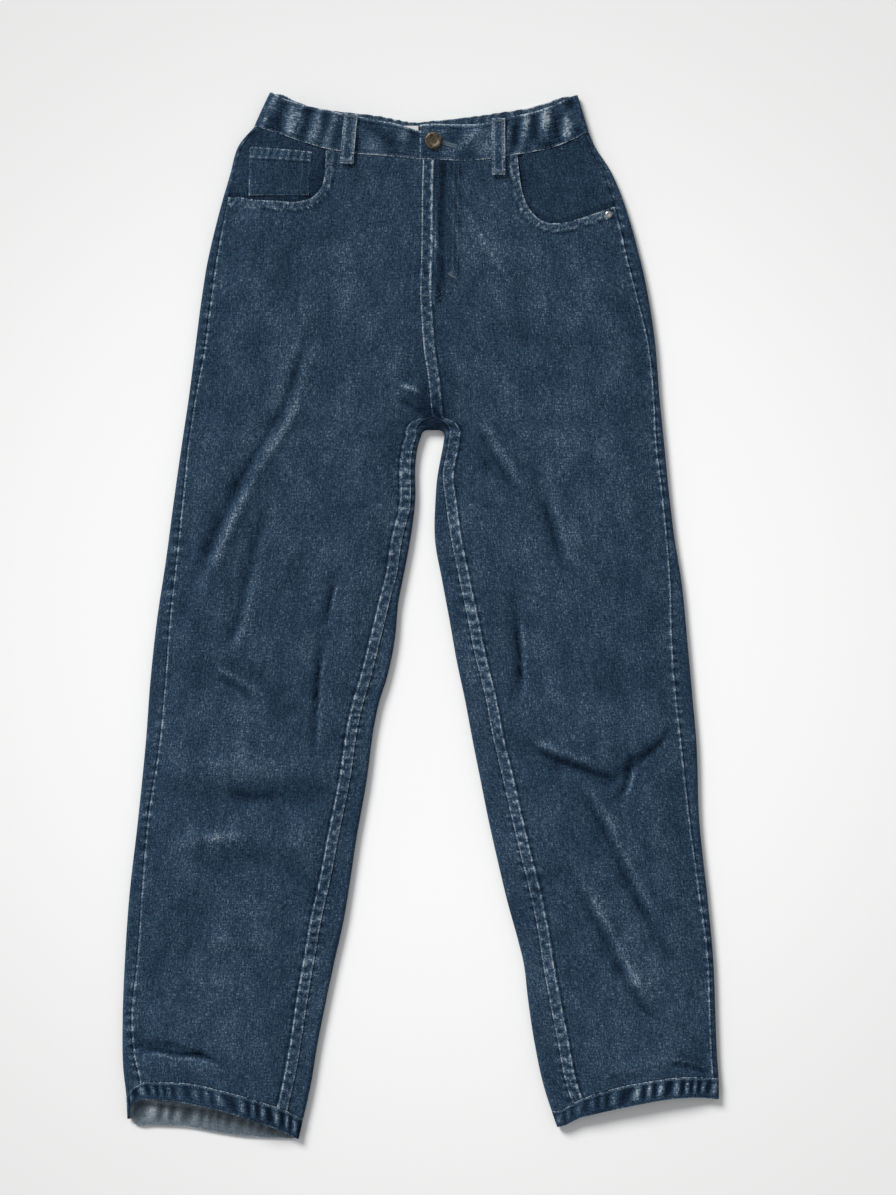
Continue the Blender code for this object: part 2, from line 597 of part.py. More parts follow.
def make_back(side, name, yoke_name):
    """A back panel and the yoke over it, with the parts of them that fold round to the front."""
    arc, floor_count = 5, 10
    sign = side["sign"]
    outer_drops, inner_drops = row_heights(side)
    waist, outer_hem, inner_hem = outer_drops[0], outer_drops[-1], inner_drops[-1]
    seam_top = back_band_seam(smooth(CENTRE, 66)) + BACK_GAP
    hip_inner = np.concatenate([np.linspace(seam_top, YOKE_CENTRE, YOKE_ROWS),
                                np.linspace(YOKE_CENTRE, HIP_FOOT,
                                            HIP_ROWS - YOKE_ROWS + 1)])
    corner, corner_out = crotch_corner(side, 4)
    turn_outer = CROTCH_EDGE + np.array(TURN_ROWS)
    hip_outer = np.insert(outer_drops[:HIP_ROWS], YOKE_ROWS, outer_drops[YOKE_ROWS - 1] + YOKE_GAP)
    hip_inner[YOKE_ROWS] += YOKE_GAP
    outer_drops = np.concatenate([hip_outer, turn_outer, outer_drops[HIP_ROWS:]])
    count_hip = len(hip_outer)
    surface_rows, normal_rows = [], []
    for r, drop in enumerate(outer_drops):
        point, out = edge_point(side, "outer", drop)
        inset = inset_at(side, "outer", drop) - SEAM / 2
        first, first_normal = edge_wrap(point, out, inset, FOLD, arc, lambda x, d: end_shift(
            side, x, d, waist + d - drop, outer_hem + d - drop))
        contact = point - out * FOLD
        if r < count_hip:
            finish = np.array([smooth(CENTRE, hip_inner[r]) + sign * SEAM / 2, hip_inner[r]])
            last = None
        else:
            k = r - count_hip
            if k == 0:
                mid = np.array([smooth(CENTRE, CROTCH_EDGE) + sign * SEAM / 2, CROTCH_EDGE - 0.5])
                away, leg_drop = np.array([0.0, 1.0]), CROTCH_EDGE
            elif k <= 4:
                mid, away, leg_drop = corner[k - 1], corner_out[k - 1], CROTCH_EDGE
            else:
                leg_drop = inner_drops[HIP_ROWS + k - 4]
                mid, away = edge_point(side, "inner", leg_drop)
            inset = LEAST_INSET - SEAM / 2 if k <= 4 else inset_at(side, "inner", leg_drop) - SEAM / 2
            last, last_normal = edge_wrap(mid, away, inset, FOLD, arc, lambda x, d: end_shift(
                side, x, d, 0.0, inner_hem + d - leg_drop))
            last, last_normal = last[::-1], last_normal[::-1]
            finish = mid - away * FOLD
        share = np.linspace(0, 1, floor_count + 1)[1:]
        plan = mix(contact, finish, share[:, None])
        floor = np.column_stack([plan, floor_height(side, plan)])
        down = np.tile([0.0, 0.0, -1.0], (len(floor), 1))
        if last is None:
            surface_rows.append(np.vstack([first, floor]))
            normal_rows.append(np.vstack([first_normal, down]))
        else:
            surface_rows.append(np.vstack([first, floor, last[1:]]))
            normal_rows.append(np.vstack([first_normal, down, last_normal[1:]]))
    yoke, yoke_normal = np.array(surface_rows[:YOKE_ROWS]), np.array(normal_rows[:YOKE_ROWS])
    top_line = back_band_seam(yoke[0, :, 0]) + BACK_GAP
    on_floor = yoke[0, :, 2] < FOLD
    yoke[0, on_floor, 1] = np.maximum(yoke[0, on_floor, 1], top_line[on_floor])
    narrow, wide = arc + 1 + floor_count, arc + 1 + floor_count + arc
    shell(yoke_name, yoke, yoke_normal, grid_faces(YOKE_ROWS, narrow), "denim")
    hips, legs = count_hip - YOKE_ROWS, len(surface_rows) - count_hip
    faces = grid_faces(hips, narrow)
    start = hips * narrow
    faces += [tuple(start + i for i in face) for face in grid_faces(legs, wide)]
    faces += [(start - narrow + c, start - narrow + c + 1, start + c + 1, start + c)
              for c in range(narrow - 1)]
    main, main_normal = np.vstack(surface_rows[YOKE_ROWS:]), np.vstack(normal_rows[YOKE_ROWS:])
    tip = np.array([smooth(CENTRE, CROTCH_DROP) + sign * SEAM / 2, CROTCH_DROP + 2 * SEAM])
    point, point_normal = front_surface(tip)
    rim = [start + (k + 1) * wide - 1 for k in range(3)]
    faces += [(rim[0], len(main), rim[1]), (rim[1], len(main), rim[2])]
    shell(name, np.vstack([main, point]), np.vstack([main_normal, point_normal]), faces, "denim")


def pocket_outline(side):
    """Plan outline of a back patch pocket: a straight mouth and a pointed foot."""
    sign, size = side["sign"], BACK_POCKET
    near = sign * size["inner"]
    far = near + sign * size["width"]
    middle = (near + far) / 2
    top, low = size["top"], size["top"] + size["height"] - size["point"]
    narrow = size["taper"] * sign
    return np.array([(near, top), (far, top), (far - narrow, low),
                     (middle, low + size["point"]), (near + narrow, low)])


def make_back_pocket(side, name):
    add_plate(name, pocket_outline(side), 0.0, CLOTH, "denim_faded")


# Waistband

def band_across(share, height):
    """Across at a share of the front's width and of the band's height, from the seam up."""
    low = mix(*BAND_SEAM_ENDS, share)
    high = mix(*BAND_TOP_ENDS, share)
    return mix(low, high, height)


def make_front_band(name, columns, top_table, end_column, end_across):
    """A front half of the waistband from (share, dip) columns; one end is straight up and down."""
    share, height = np.meshgrid([share for share, _ in columns], np.linspace(0, 1, 4))
    across = band_across(share, height)
    across[:, end_column] = end_across
    plan = np.stack([across, mix(smooth(WAIST_SEAM, across), smooth(top_table, across), height)],
                    axis=-1)
    surface, normal = front_surface(plan, BAND_FOLD, FOLDS + GATHERS)
    surface[..., 2] -= [dip for _, dip in columns]
    shell(name, surface, normal, grid_faces(*plan.shape[:2]), "denim", FOLDED)


def loop_rise(across):
    """How far the back of the waistband is lifted where it lies on a belt loop."""
    near = np.min([np.abs(across - place) for _, place in BACK_LOOPS], axis=0)
    return (BACK_LOOP["thick"] + LAYER) * (1 - ease((near - BACK_LOOP["flat"]) / BACK_LOOP["ramp"]))


def make_back_loops():
    for name, place in BACK_LOOPS:
        top = smooth(BACK_TOP, place) + (BAND_HEIGHT - BACK_LOOP["height"]) / 2
        half = BACK_LOOP["width"] / 2
        add_plate(name, ((place - half, top), (place + half, top),
                         (place + half, top + BACK_LOOP["height"]),
                         (place - half, top + BACK_LOOP["height"])), 0.0, BACK_LOOP["thick"],
                  "denim_faded")


def make_back_band():
    """The elastic back of the waistband, which comes round each side to its front joins."""
    rows, wrap_count, floor_count = 4, 9, 2 * BACK_GATHERS + 1
    surface, normal, thick = [], [], []
    for height in np.linspace(0, 1, rows):
        parts = []
        for k, (side, join) in enumerate(((RIGHT, RIGHT_JOIN), (LEFT, LEFT_JOIN))):
            low = np.array([BAND_SEAM_ENDS[k], smooth(WAIST_SEAM, BAND_SEAM_ENDS[k])])
            high = np.array([BAND_TOP_ENDS[k], smooth(BACK_TOP, BAND_TOP_ENDS[k])])
            point = mix(low, high, height)
            run = unit(high - low)
            out = np.array([-run[1], run[0]]) * (1 if -run[1] * side["sign"] > 0 else -1)
            across = band_across(join, height) + side["sign"] * JOIN_GAP / 2
            table = FRONT_TOP if side is RIGHT else OVERLAP_TOP
            seam_drop, top_drop = smooth(WAIST_SEAM, across), smooth(table, across)
            start = np.array([across, mix(seam_drop, top_drop, height)])
            turn_in = point - out * BAND_FOLD
            count = 4
            plan = mix(start, turn_in, np.linspace(0, 1, count + 1)[:-1, None])
            level = lambda x, d: mix(smooth(WAIST_SEAM, x), smooth(table, x), height) - d
            plan[:, 1] += level(plan[:, 0], plan[:, 1])
            top, top_normal = front_surface(plan, BAND_FOLD, FOLDS + GATHERS)
            wrap, wrap_normal = edge_wrap(point, out, BAND_FOLD, BAND_FOLD, wrap_count - count, level)
            parts.append((np.vstack([top, wrap[1:]]), np.vstack([top_normal, wrap_normal[1:]]),
                          turn_in))
        (first, first_n, a), (last, last_n, b) = parts
        share = np.linspace(0, 1, floor_count + 2)[1:-1]
        plan = mix(a, b, share[:, None])
        plan[:, 1] = smooth(BACK_TOP, plan[:, 0]) + BAND_HEIGHT * (1 - height)
        blend = ease(np.minimum(share, 1 - share) / 0.08)
        plan[:, 1] = mix(mix(a, b, share[:, None])[:, 1], plan[:, 1], blend)
        floor = np.column_stack([plan, loop_rise(plan[:, 0])])
        down = np.tile([0.0, 0.0, -1.0], (floor_count, 1))
        wave = GATHER_RISE * (0.5 - 0.5 * np.cos(np.arange(floor_count) * math.pi))
        surface.append(np.vstack([first, floor, last[::-1]]))
        normal.append(np.vstack([first_n, down, last_n[::-1]]))
        thick.append([*np.full(len(first), FOLDED), *(FOLDED + wave), *np.full(len(last), FOLDED)])
    surface = np.array(surface)
    shell("waistband_back", surface, np.array(normal), grid_faces(*surface.shape[:2]), "denim",
          np.array(thick))


def make_waistband():
    full = BAND_SEAM_ENDS[1] - BAND_SEAM_ENDS[0]
    under, over, tab = ((x - BAND_SEAM_ENDS[0]) / full for x in (-16, -2.5, UNDERLAP_END))
    seam = JOIN_GAP / 2 / full
    right = [(share, 0.0) for share in np.linspace(RIGHT_JOIN + seam, under, 10)]
    right += [(mix(under, over, 0.5), UNDERLAP_DIP / 2), (over, UNDERLAP_DIP), (tab, UNDERLAP_DIP)]
    make_front_band("waistband_right", right, FRONT_TOP, -1, UNDERLAP_END)
    left = [(share, 0.0) for share in np.linspace(over, LEFT_JOIN - seam, 13)]
    make_front_band("waistband_left", left, OVERLAP_TOP, 0, OVERLAP_END)
    make_back_band()


# Cuffs

def cuff_front(cuff, across, height):
    """Drop of the front of a cuff at a share of its height, from its top edge down."""
    return mix(smooth(cuff["front_top"], across), smooth(cuff["front_bottom"], across), height)


def make_cuff(side, name):
    """The folded hem as a closed ring: front, outer edge, back, inner edge."""
    cuff = side["cuff"]
    front_count, floor_count, wrap_count = 13, 9, 6
    rows = 3
    surface, normal = [], []
    for height in np.linspace(0, 1, rows):
        edges = []
        for which, table in (("outer", cuff["outer"]), ("inner", cuff["inner"])):
            (d0, x0), (d1, x1) = table
            point = np.array([mix(x0, x1, height), mix(d0, d1, height)])
            sign = side["sign"] if which == "outer" else -side["sign"]
            run = unit(np.array([x1 - x0, d1 - d0]))
            out = np.array([sign * run[1], -sign * run[0]])
            edges.append((point, out))
        (outer, outer_out), (inner, inner_out) = edges
        wraps = [edge_wrap(point, out, CUFF_FOLD, CUFF_FOLD, wrap_count, lambda x, d:
                           cuff_front(cuff, x, height) - d) for point, out in edges]
        wraps = [(place[1:], facing[1:]) for place, facing in wraps]
        start, finish = outer - outer_out * CUFF_FOLD, inner - inner_out * CUFF_FOLD
        share = np.linspace(0, 1, front_count + 2)[1:-1]
        across = mix(finish[0], start[0], share)
        front = np.stack([across, cuff_front(cuff, across, height)], axis=-1)
        top, top_normal = front_surface(front, CUFF_FOLD)
        across = mix(start[0], finish[0], np.linspace(0, 1, floor_count + 2)[1:-1])
        back_low = smooth(cuff["back_bottom"], across)
        (d0, x0), (d1, x1) = cuff["outer"][0], cuff["inner"][0]
        back_top = d0 + (across - x0) / (x1 - x0) * (d1 - d0)
        floor = np.column_stack([across, mix(back_top, back_low, height), np.zeros(floor_count)])
        down = np.tile([0.0, 0.0, -1.0], (floor_count, 1))
        surface.append(np.vstack([top, wraps[0][0], floor, wraps[1][0][::-1]]))
        normal.append(np.vstack([top_normal, wraps[0][1], down, wraps[1][1][::-1]]))
    surface = np.array(surface)
    shell(name, surface, np.array(normal), grid_faces(*surface.shape[:2], closed=True), "denim", FOLDED)


# Small pieces

def make_belt_loop(name, x0, d0, x1, d1):
    """A stitched strip over the waistband, with each end turned under."""
    size = BELT_LOOP
    rows, columns = 8, 3
    down = np.linspace(0, 1, rows)
    centre = np.stack([mix(x0, x1, down), mix(d0, d1, down)], axis=-1)
    run = unit(centre[-1] - centre[0])
    side = np.array([-run[1], run[0]]) * size["width"] / 2
    plan = centre[:, None] + np.linspace(-1, 1, columns)[None, :, None] * side
    under, normal = front_surface(plan, BAND_FOLD, FOLDS + GATHERS)
    flat = np.broadcast_to([0.0, 0.0, 1.0], normal.shape)
    arch = size["arch"] * np.sin(math.pi * down)[:, None] ** 0.5
    level = np.maximum(under[..., 2], under[..., 2].max(axis=1, keepdims=True))
    under[..., 2] = level + size["clear"] + size["thick"] + arch
    shell(name, under, flat, grid_faces(rows, columns), "denim_faded", size["thick"])


def turned(name, profile, across, drop, height, kind, steps):
    """A round piece from (radius, height) points, outer side, top to bottom."""
    points = [(r * MM, 0.0, z * MM) for r, z in profile]
    mesh = bpy.data.meshes.new(name)
    mesh.from_pydata(points, [(i, i + 1) for i in range(len(points) - 1)], [])
    piece = add_piece(name, mesh, kind)
    piece.location = to_frame((across, drop, height))
    screw = piece.modifiers.new("turn", "SCREW")
    screw.axis = "Z"
    screw.steps = steps
    screw.render_steps = steps
    screw.use_merge_vertices = True
    screw.merge_threshold = 0.00001
    return piece


def top_height(across, drop, radius=FOLD, reach=0.0, folds=FOLDS):
    """The highest point of the front within reach of a place."""
    turn = np.linspace(0, 2 * math.pi, 17)
    ring = np.stack([across + reach * np.cos(turn), drop + reach * np.sin(turn)], axis=-1)
    ring = np.vstack([ring, [[across, drop]]])
    return float(front_surface(ring, radius, folds)[0][:, 2].max())


def make_button():
    b = BUTTON
    level = top_height(b["across"], b["drop"], BAND_FOLD, b["radius"], FOLDS + GATHERS) + LAYER
    r, t = b["radius"], b["thick"]
    profile = ((0, t), (r * 0.70, t - 0.1), (r * 0.82, t), (r * 0.95, t - 0.2), (r, t - 0.9),
               (r * 0.9, t - 1.5), (r * 0.45, t - 1.6), (r * 0.42, 0), (0, 0))
    turned("button", profile, b["across"], b["drop"], level, "brass", 24)


def make_rivet():
    v = RIVET
    level = top_height(v["across"], v["drop"], reach=v["radius"]) + LAYER
    r, t = v["radius"], v["thick"]
    profile = ((0, t), (r * 0.4, t), (r * 0.8, t * 0.8), (r, t * 0.3), (r, 0), (0, 0))
    turned("rivet", profile, v["across"], v["drop"], level, "nickel", 16)


def make_zip():
    """The closed zip as a plain strip just under the fly."""
    rows, columns = 7, 3
    drop, share = np.meshgrid(np.linspace(ZIP["top"], ZIP["foot"], rows), np.linspace(0, 1, columns),
                              indexing="ij")
    across = smooth(CENTRE, drop) + ZIP["inset"] + share * ZIP["width"]
    surface, normal = front_surface(np.stack([across, drop], axis=-1))
    surface = surface - normal * (CLOTH + LAYER)
    shell("zip", surface, normal, grid_faces(rows, columns), "denim_dark", ZIP["thick"])


def make_label():
    """A blank woven tab on the inside of the back of the waistband."""
    size = LABEL
    half = size["width"] / 2
    low = FOLDED + GATHER_RISE + BACK_LOOP["thick"] + 2 * LAYER
    corners = [(size["across"] + dx, drop) for dx, drop in
               ((-half, size["top"]), (half, size["top"]), (half, size["foot"]), (-half, size["foot"]))]
    add_plate("label", corners, low, low + size["thick"], "label")


# Build

for old in list(bpy.data.objects):
    bpy.data.objects.remove(old)

JEANS = bpy.data.collections.new("mom_jeans")
CUTTERS = bpy.data.collections.new("cutters")
for group in (JEANS, CUTTERS):
    bpy.context.scene.collection.children.link(group)

for body_side, word in ((RIGHT, "right"), (LEFT, "left")):
    front = make_front(body_side, "front_" + word)
    make_facing(body_side, front, "pocket_facing_" + word)
    make_back(body_side, "back_" + word, "yoke_" + word)
    make_back_pocket(body_side, "back_pocket_" + word)
    make_cuff(body_side, "cuff_" + word)
make_coin_pocket()
make_waistband()
make_back_loops()
for loop in BELT_LOOPS:
    make_belt_loop(*loop)
make_button()
make_rivet()
make_zip()
make_label()
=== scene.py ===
import math

import bmesh
import bpy
import numpy as np
from mathutils import Matrix, Vector
from mathutils.bvhtree import BVHTree


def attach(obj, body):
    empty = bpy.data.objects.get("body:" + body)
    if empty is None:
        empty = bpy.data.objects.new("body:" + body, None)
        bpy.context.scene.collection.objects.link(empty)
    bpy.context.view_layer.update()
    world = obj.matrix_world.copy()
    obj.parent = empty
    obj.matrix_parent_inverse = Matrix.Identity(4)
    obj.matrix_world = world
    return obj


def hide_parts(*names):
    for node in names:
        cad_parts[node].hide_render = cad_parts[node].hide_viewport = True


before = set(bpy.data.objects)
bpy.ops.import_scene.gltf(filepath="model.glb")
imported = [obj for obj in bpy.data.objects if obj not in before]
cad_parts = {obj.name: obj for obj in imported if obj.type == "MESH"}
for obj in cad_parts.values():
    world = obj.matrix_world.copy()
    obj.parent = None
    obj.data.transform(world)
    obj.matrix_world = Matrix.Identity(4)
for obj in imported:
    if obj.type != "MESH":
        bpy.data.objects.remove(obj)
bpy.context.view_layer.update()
print("frame loaded")

# Lengths are in millimetres until a mesh is made. "across" runs to the wearer's left, "drop"
# runs down from the highest point of the waist, and the garment lies on its back.
mm = 0.001
middle = dict(across=0.1556, drop=523.4758)  # what sits on the origin
sheetCorner = dict(across=-420.4, drop=-92.0)  # corner of the layout sheet that folds are noted on
fold = dict(panel=4.0, band=4.4, cuff=4.5, leastInset=4.6)  # outer radii where cloth turns
cloth = dict(panel=1.1, folded=2.3, loop=1.5, seam=0.3, endGap=0.6, backGap=1.5, lift=0.25)
mesh = dict(row=2.6, column=3.0, fine=1.1, fineRun=15.0, arc=8, floor=12, turn=9)
loft = dict(run=42.0, folds=10.0)
puckers = dict(pitch=9.5, run=4.2, rise=0.42, wearAndShading=0.24)
felled = dict(width=11.0, step=1.0, rise=0.75)  # flat-felled inseams and centre front
pocketEdge = dict(width=8.3, step=0.9, rise=0.6, stitches=(1.6, 6.9))
fly = dict(top=73.0, stitches=(31.5, 36.0), turn=180.0, foot=215.0, rise=0.45)
crotch = dict(drop=326.0, edge=338.5, radius=6.0, across=(1.0, 24.0), hipEnd=332.0, legStart=358.0)
yoke = dict(side=112.0, centre=148.0, gap=0.4)
waist = dict(height=38.0, rightJoin=0.118, leftJoin=0.885, overlapEnd=-0.5, underlapEnd=13.0,
             underlapDip=3.4, gathers=26, gatherRise=1.0, topEnds=(-150.0, 157.0),
             seamEnds=(-166.0, 168.0))

# Outer edge of each side, drop and across, with how far the outseam lies inside it
rightOuter = (
    (36, -166, 3), (58, -181, 3), (88, -190, 4), (128, -202, 6), (168, -212, 8),
    (208, -218.5, 9), (258, -225, 9), (308, -231.5, 6), (348, -237.5, 6), (404, -245.5, 8),
    (468, -254, 10), (528, -263, 12.5), (588, -269.5, 14.5), (648, -274, 13.5),
    (728, -282, 9.5), (808, -291, 12), (868, -295, 12), (928, -297.3, 8.5), (968, -297, 11),
    (1004, -293.5, 13.5), (1026, -292.5, 13.5),
)
leftOuter = (
    (41, 168, 3), (58, 174, 5), (88, 190, 8), (128, 207, 10), (168, 219.5, 12),
    (208, 228, 10), (248, 234, 6.5), (308, 239, 5), (348, 243, 7), (408, 249, 6),
    (448, 254, 7), (488, 260.5, 10.5), (548, 266.5, 15), (608, 272, 16), (648, 275.5, 15),
    (728, 278.5, 9), (808, 287, 6.5), (868, 292.5, 3.5), (928, 294.8, 2), (968, 296.5, 2),
    (985, 297.8, 2), (1006, 298, 2),
)
# Inner edge of each leg in the same form, with the inseam
rightInner = (
    (344, 1.0, 0.8), (354, -2.2, 0.8), (370, -4.6, 1.2), (408, -5, 2.5), (428, -7, 6),
    (448, -10, 8), (488, -17.5, 7), (508, -21.5, 8.5), (548, -25.5, 14), (588, -34, 15.5),
    (608, -40.5, 15), (628, -45, 15.5), (688, -53.5, 16.5), (748, -64, 18), (788, -70, 19.5),
    (828, -76.5, 22), (868, -85.5, 20), (908, -94, 18.5), (948, -102, 16.5),
    (988, -109, 16.5), (1026, -117, 16), (1046, -121.5, 16),
)
leftInner = (
    (344, 24, 0.8), (354, 22.6, 1), (370, 19.5, 3), (388, 16.5, 6), (408, 15, 10),
    (448, 14.5, 16), (488, 21.5, 17), (528, 29, 18), (568, 36, 19), (608, 44.5, 20.5),
    (648, 52, 20.5), (688, 60, 22), (728, 68, 23), (768, 77, 23.5), (808, 86.5, 24),
    (848, 97.5, 21), (868, 102.5, 19), (908, 107.5, 21), (948, 113.5, 23), (988, 122, 22.5),
    (1018, 131, 22), (1034, 136.5, 22),
)
centreLine = (
    (30, 2), (66, 2.5), (102, 1.6), (165, 1), (205, 0), (228, 1.5), (260, 4), (287, 8),
    (317, 11), (326, 12), (340, 12),
)
# Edges of the waistband, across and drop
frontTop = (
    (-150, 1), (-135, 8.5), (-120, 14), (-95, 20), (-70, 25), (-45, 30), (-25, 33.5),
    (-10, 38), (0, 40.5), (14, 41),
)
overlapTop = (
    (-1, 35), (10, 34), (30, 34.5), (55, 34.3), (66, 33), (80, 28.5), (110, 23), (133, 15),
    (150, 6.5), (157, 4),
)
waistSeam = (
    (-166, 35.5), (-144, 42), (-130, 47.5), (-109, 54.5), (-95, 58.5), (-81, 61),
    (-64, 63.5), (-46, 65), (-25, 66.5), (0, 69), (20, 69.5), (41, 70.7), (70, 68.6),
    (87, 65.8), (110, 62.3), (133, 57), (148, 51), (168, 40.5),
)
backTop = (
    (-150, 1), (-135, 6.5), (-110, 15), (-85, 20), (-60, 22.5), (-40, 25), (-20, 29),
    (-5, 31.5), (10, 30), (30, 28), (50, 25.5), (80, 21.5), (100, 18.5), (120, 13.5),
    (140, 7.5), (157, 4),
)
# Height of the front above its folded edges: drop, right, left
loftTable = (
    (0, 5.0, 5.0), (60, 5.0, 5.0), (150, 4.5, 4.5), (300, 4.0, 4.0), (420, 4.0, 4.5),
    (600, 5.5, 5.5), (740, 5.5, 7.0), (860, 4.0, 4.5), (960, 5.0, 4.0), (1010, 8.0, 4.0),
    (1050, 9.0, 4.0),
)
# Large folds: across, drop, across, drop, half width, rise
folds = (
    (-110, 225, -155, 350, 9, 1.6), (-155, 350, -205, 470, 9, 1.8), (-205, 470, -232, 530, 8, 1.4),
    (-150, 330, -182, 395, 7, -1.6), (-182, 395, -212, 460, 8, -2.0), (-212, 460, -238, 530, 8, -1.8),
    (-150, 400, -187, 540, 7, -1.2), (-87, 487, -95, 530, 4, -1.8), (-97, 545, -104, 605, 4.5, -2.2),
    (-104, 605, -106, 665, 4.5, -1.6), (-210, 575, -160, 585, 10, -1.6),
    (-160, 585, -135, 620, 9, -1.4), (-230, 672, -110, 676, 14, 1.6), (-215, 703, -105, 706, 12, -2.0),
    (-225, 745, -120, 748, 12, 1.6), (-205, 768, -130, 772, 12, -1.2), (-250, 850, -270, 905, 7, -1.4),
    (-205, 850, -150, 848, 8, 1.2), (-287, 954, -250, 953, 5, -2.2), (-250, 953, -218, 962, 5, -2.4),
    (-218, 962, -190, 975, 6, -1.6), (-285, 966, -205, 974, 7, 1.4),
    (46, 135, 93, 193, 4, 0.9), (70, 240, 150, 262, 12, -1.2), (118, 215, 122, 250, 10, 1.2),
    (40, 345, 70, 375, 7, -1.8), (70, 375, 96, 404, 7, -1.8), (58, 345, 105, 395, 7, 1.2),
    (108, 375, 141, 456, 8, -1.8), (141, 456, 168, 501, 8, -1.6), (128, 380, 160, 450, 8, 1.2),
    (94, 508, 99, 584, 5, -2.4), (99, 584, 94, 612, 5, -1.6), (118, 572, 120, 607, 6, -1.4),
    (125, 600, 215, 640, 22, 2.2), (109, 652, 136, 673, 7, -1.8), (136, 673, 189, 688, 6, -2.8),
    (189, 688, 228, 660, 7, -2.2), (210, 668, 199, 706, 4, -2.4),
    (168, 715, 205, 790, 8, -1.6), (205, 790, 247, 866, 8, -1.8), (148, 780, 200, 877, 8, -1.6),
    (200, 877, 233, 921, 8, -1.6), (185, 755, 225, 840, 8, 1.2), (170, 800, 215, 890, 8, 1.2),
    (118, 797, 128, 850, 6, -1.2), (262, 968, 295, 978, 6, -2.0), (180, 980, 250, 965, 8, 1.2),
    (2, 250, 4, 300, 7, -1.4), (5, 300, 6, 315, 6, -1.4), (-20, 303, 0, 296, 6, 1.2),
)
gathers = (
    (-148, 12, -156, 34, 3.5, 1.0), (-138, 10, -141, 38, 3, -1.0), (-128, 12, -131, 44, 3, 1.0),
    (-112, 18, -118, 48, 4, -0.9), (-98, 22, -101, 52, 4, 0.8),
    (93, 30, 96, 58, 4, -1.0), (104, 26, 108, 56, 4, 1.0), (113, 24, 118, 55, 3.5, -1.2),
    (123, 20, 128, 52, 3.5, 1.2), (132, 17, 138, 50, 3, -1.6), (141, 13, 147, 46, 3, 1.2),
    (148, 8, 156, 40, 3, -1.2), (60, 38, 40, 55, 4, 0.9), (-40, 42, -12, 50, 5, -0.9),
)
# Sharper creases, as points on the layout sheet with half width, rise and how much their colour changes: ridges
# rub lighter, troughs are painted darker as shade
creases = (
    (((312, 317), (304, 345), (280, 414), (258, 450), (235, 492), (212, 542), (196, 590)), 4, -1.2, 1.0),
    (((322, 322), (314, 350), (291, 418), (269, 455), (246, 497), (223, 546), (206, 592)), 5, 1.1, 1.2),
    (((271, 492), (248, 572), (235, 630), (212, 664)), 4, -0.8, 1.0),
    (((280, 494), (257, 574), (243, 632), (221, 667)), 5, 0.6, 1.0),
    (((334.7, 579), (331, 600), (327.8, 620)), 2.0, -1.1, 1.2),
    (((338.5, 580), (335, 601), (331.5, 621)), 2.0, 0.7, 1.4),
    (((323, 639), (319, 672), (317, 705), (315, 758)), 2.2, -1.0, 1.2),
    (((327, 640), (323, 673), (321, 706), (319, 757)), 2.2, 0.7, 1.4),
    (((211, 666), (236, 676), (262, 694)), 4, 0.8, 1.2),
    (((215, 676), (237, 686), (258, 703)), 4, -0.8, 1.0),
    (((225, 790), (255, 796), (282, 793)), 6, -1.0, 1.0),
    (((202, 838), (225, 836), (248, 833)), 6, 0.8, 1.2),
    (((140, 1048), (156, 1048), (179, 1052), (206, 1054.5), (229, 1066)), 1.8, -1.2, 1.4),
    (((140, 1052), (156, 1052.5), (179, 1056.5), (206, 1059), (229, 1070)), 1.8, 0.7, 1.6),
    (((471, 421), (494, 458), (517, 496)), 4, -1.0, 1.0),
    (((480, 418), (503, 455), (526, 492)), 4.5, 0.8, 1.1),
    (((540, 492), (549, 524), (559, 556), (577, 584)), 4, -1.0, 1.0),
    (((549, 489), (559, 521), (569, 552), (587, 580)), 4.5, 0.8, 1.1),
    (((515, 607), (518, 643), (519.5, 687), (515, 705)), 2.4, -1.2, 1.2),
    (((520, 606), (523, 643), (524.5, 688), (520, 707)), 2.4, 0.8, 1.4),
    (((527, 745), (552, 757), (575, 765), (593, 772), (621, 779)), 3.5, -1.3, 1.2),
    (((621, 779), (630, 767), (655, 747), (672, 725)), 3.5, -1.1, 1.0),
    (((530, 738), (555, 749), (578, 757), (600, 765)), 4, 0.9, 1.3),
    (((630, 765), (625, 784), (620, 797)), 2.0, -1.2, 1.3),
    (((634, 766), (630, 785), (625, 798)), 2.0, 0.9, 1.4),
    (((570, 774), (598, 820), (621, 869), (644, 914), (662, 940)), 4, -0.9, 1.0),
    (((579, 771), (607, 817), (630, 866), (653, 911), (670, 937)), 4.5, 0.8, 1.1),
    (((568, 873), (589, 910), (609, 947), (632, 992), (655, 1018), (680, 1027)), 4, -0.9, 1.0),
    (((577, 870), (598, 907), (618, 944), (641, 988), (662, 1012)), 4.5, 0.8, 1.1),
    (((667, 1061), (690, 1066), (712, 1073)), 2.0, -1.0, 1.4),
    (((668, 1056), (691, 1061), (712, 1068)), 2.0, 0.7, 1.4),
    (((465, 210), (488, 248), (511, 286)), 1.8, 0.6, 1.6),
    (((396, 384), (410, 389), (424, 395)), 3.0, 0.9, 1.6),
    (((430, 235), (438, 250), (448, 262)), 2.0, 0.7, 1.6),
    (((398, 400), (412, 406), (426, 414)), 3.0, -0.8, 1.2),
)
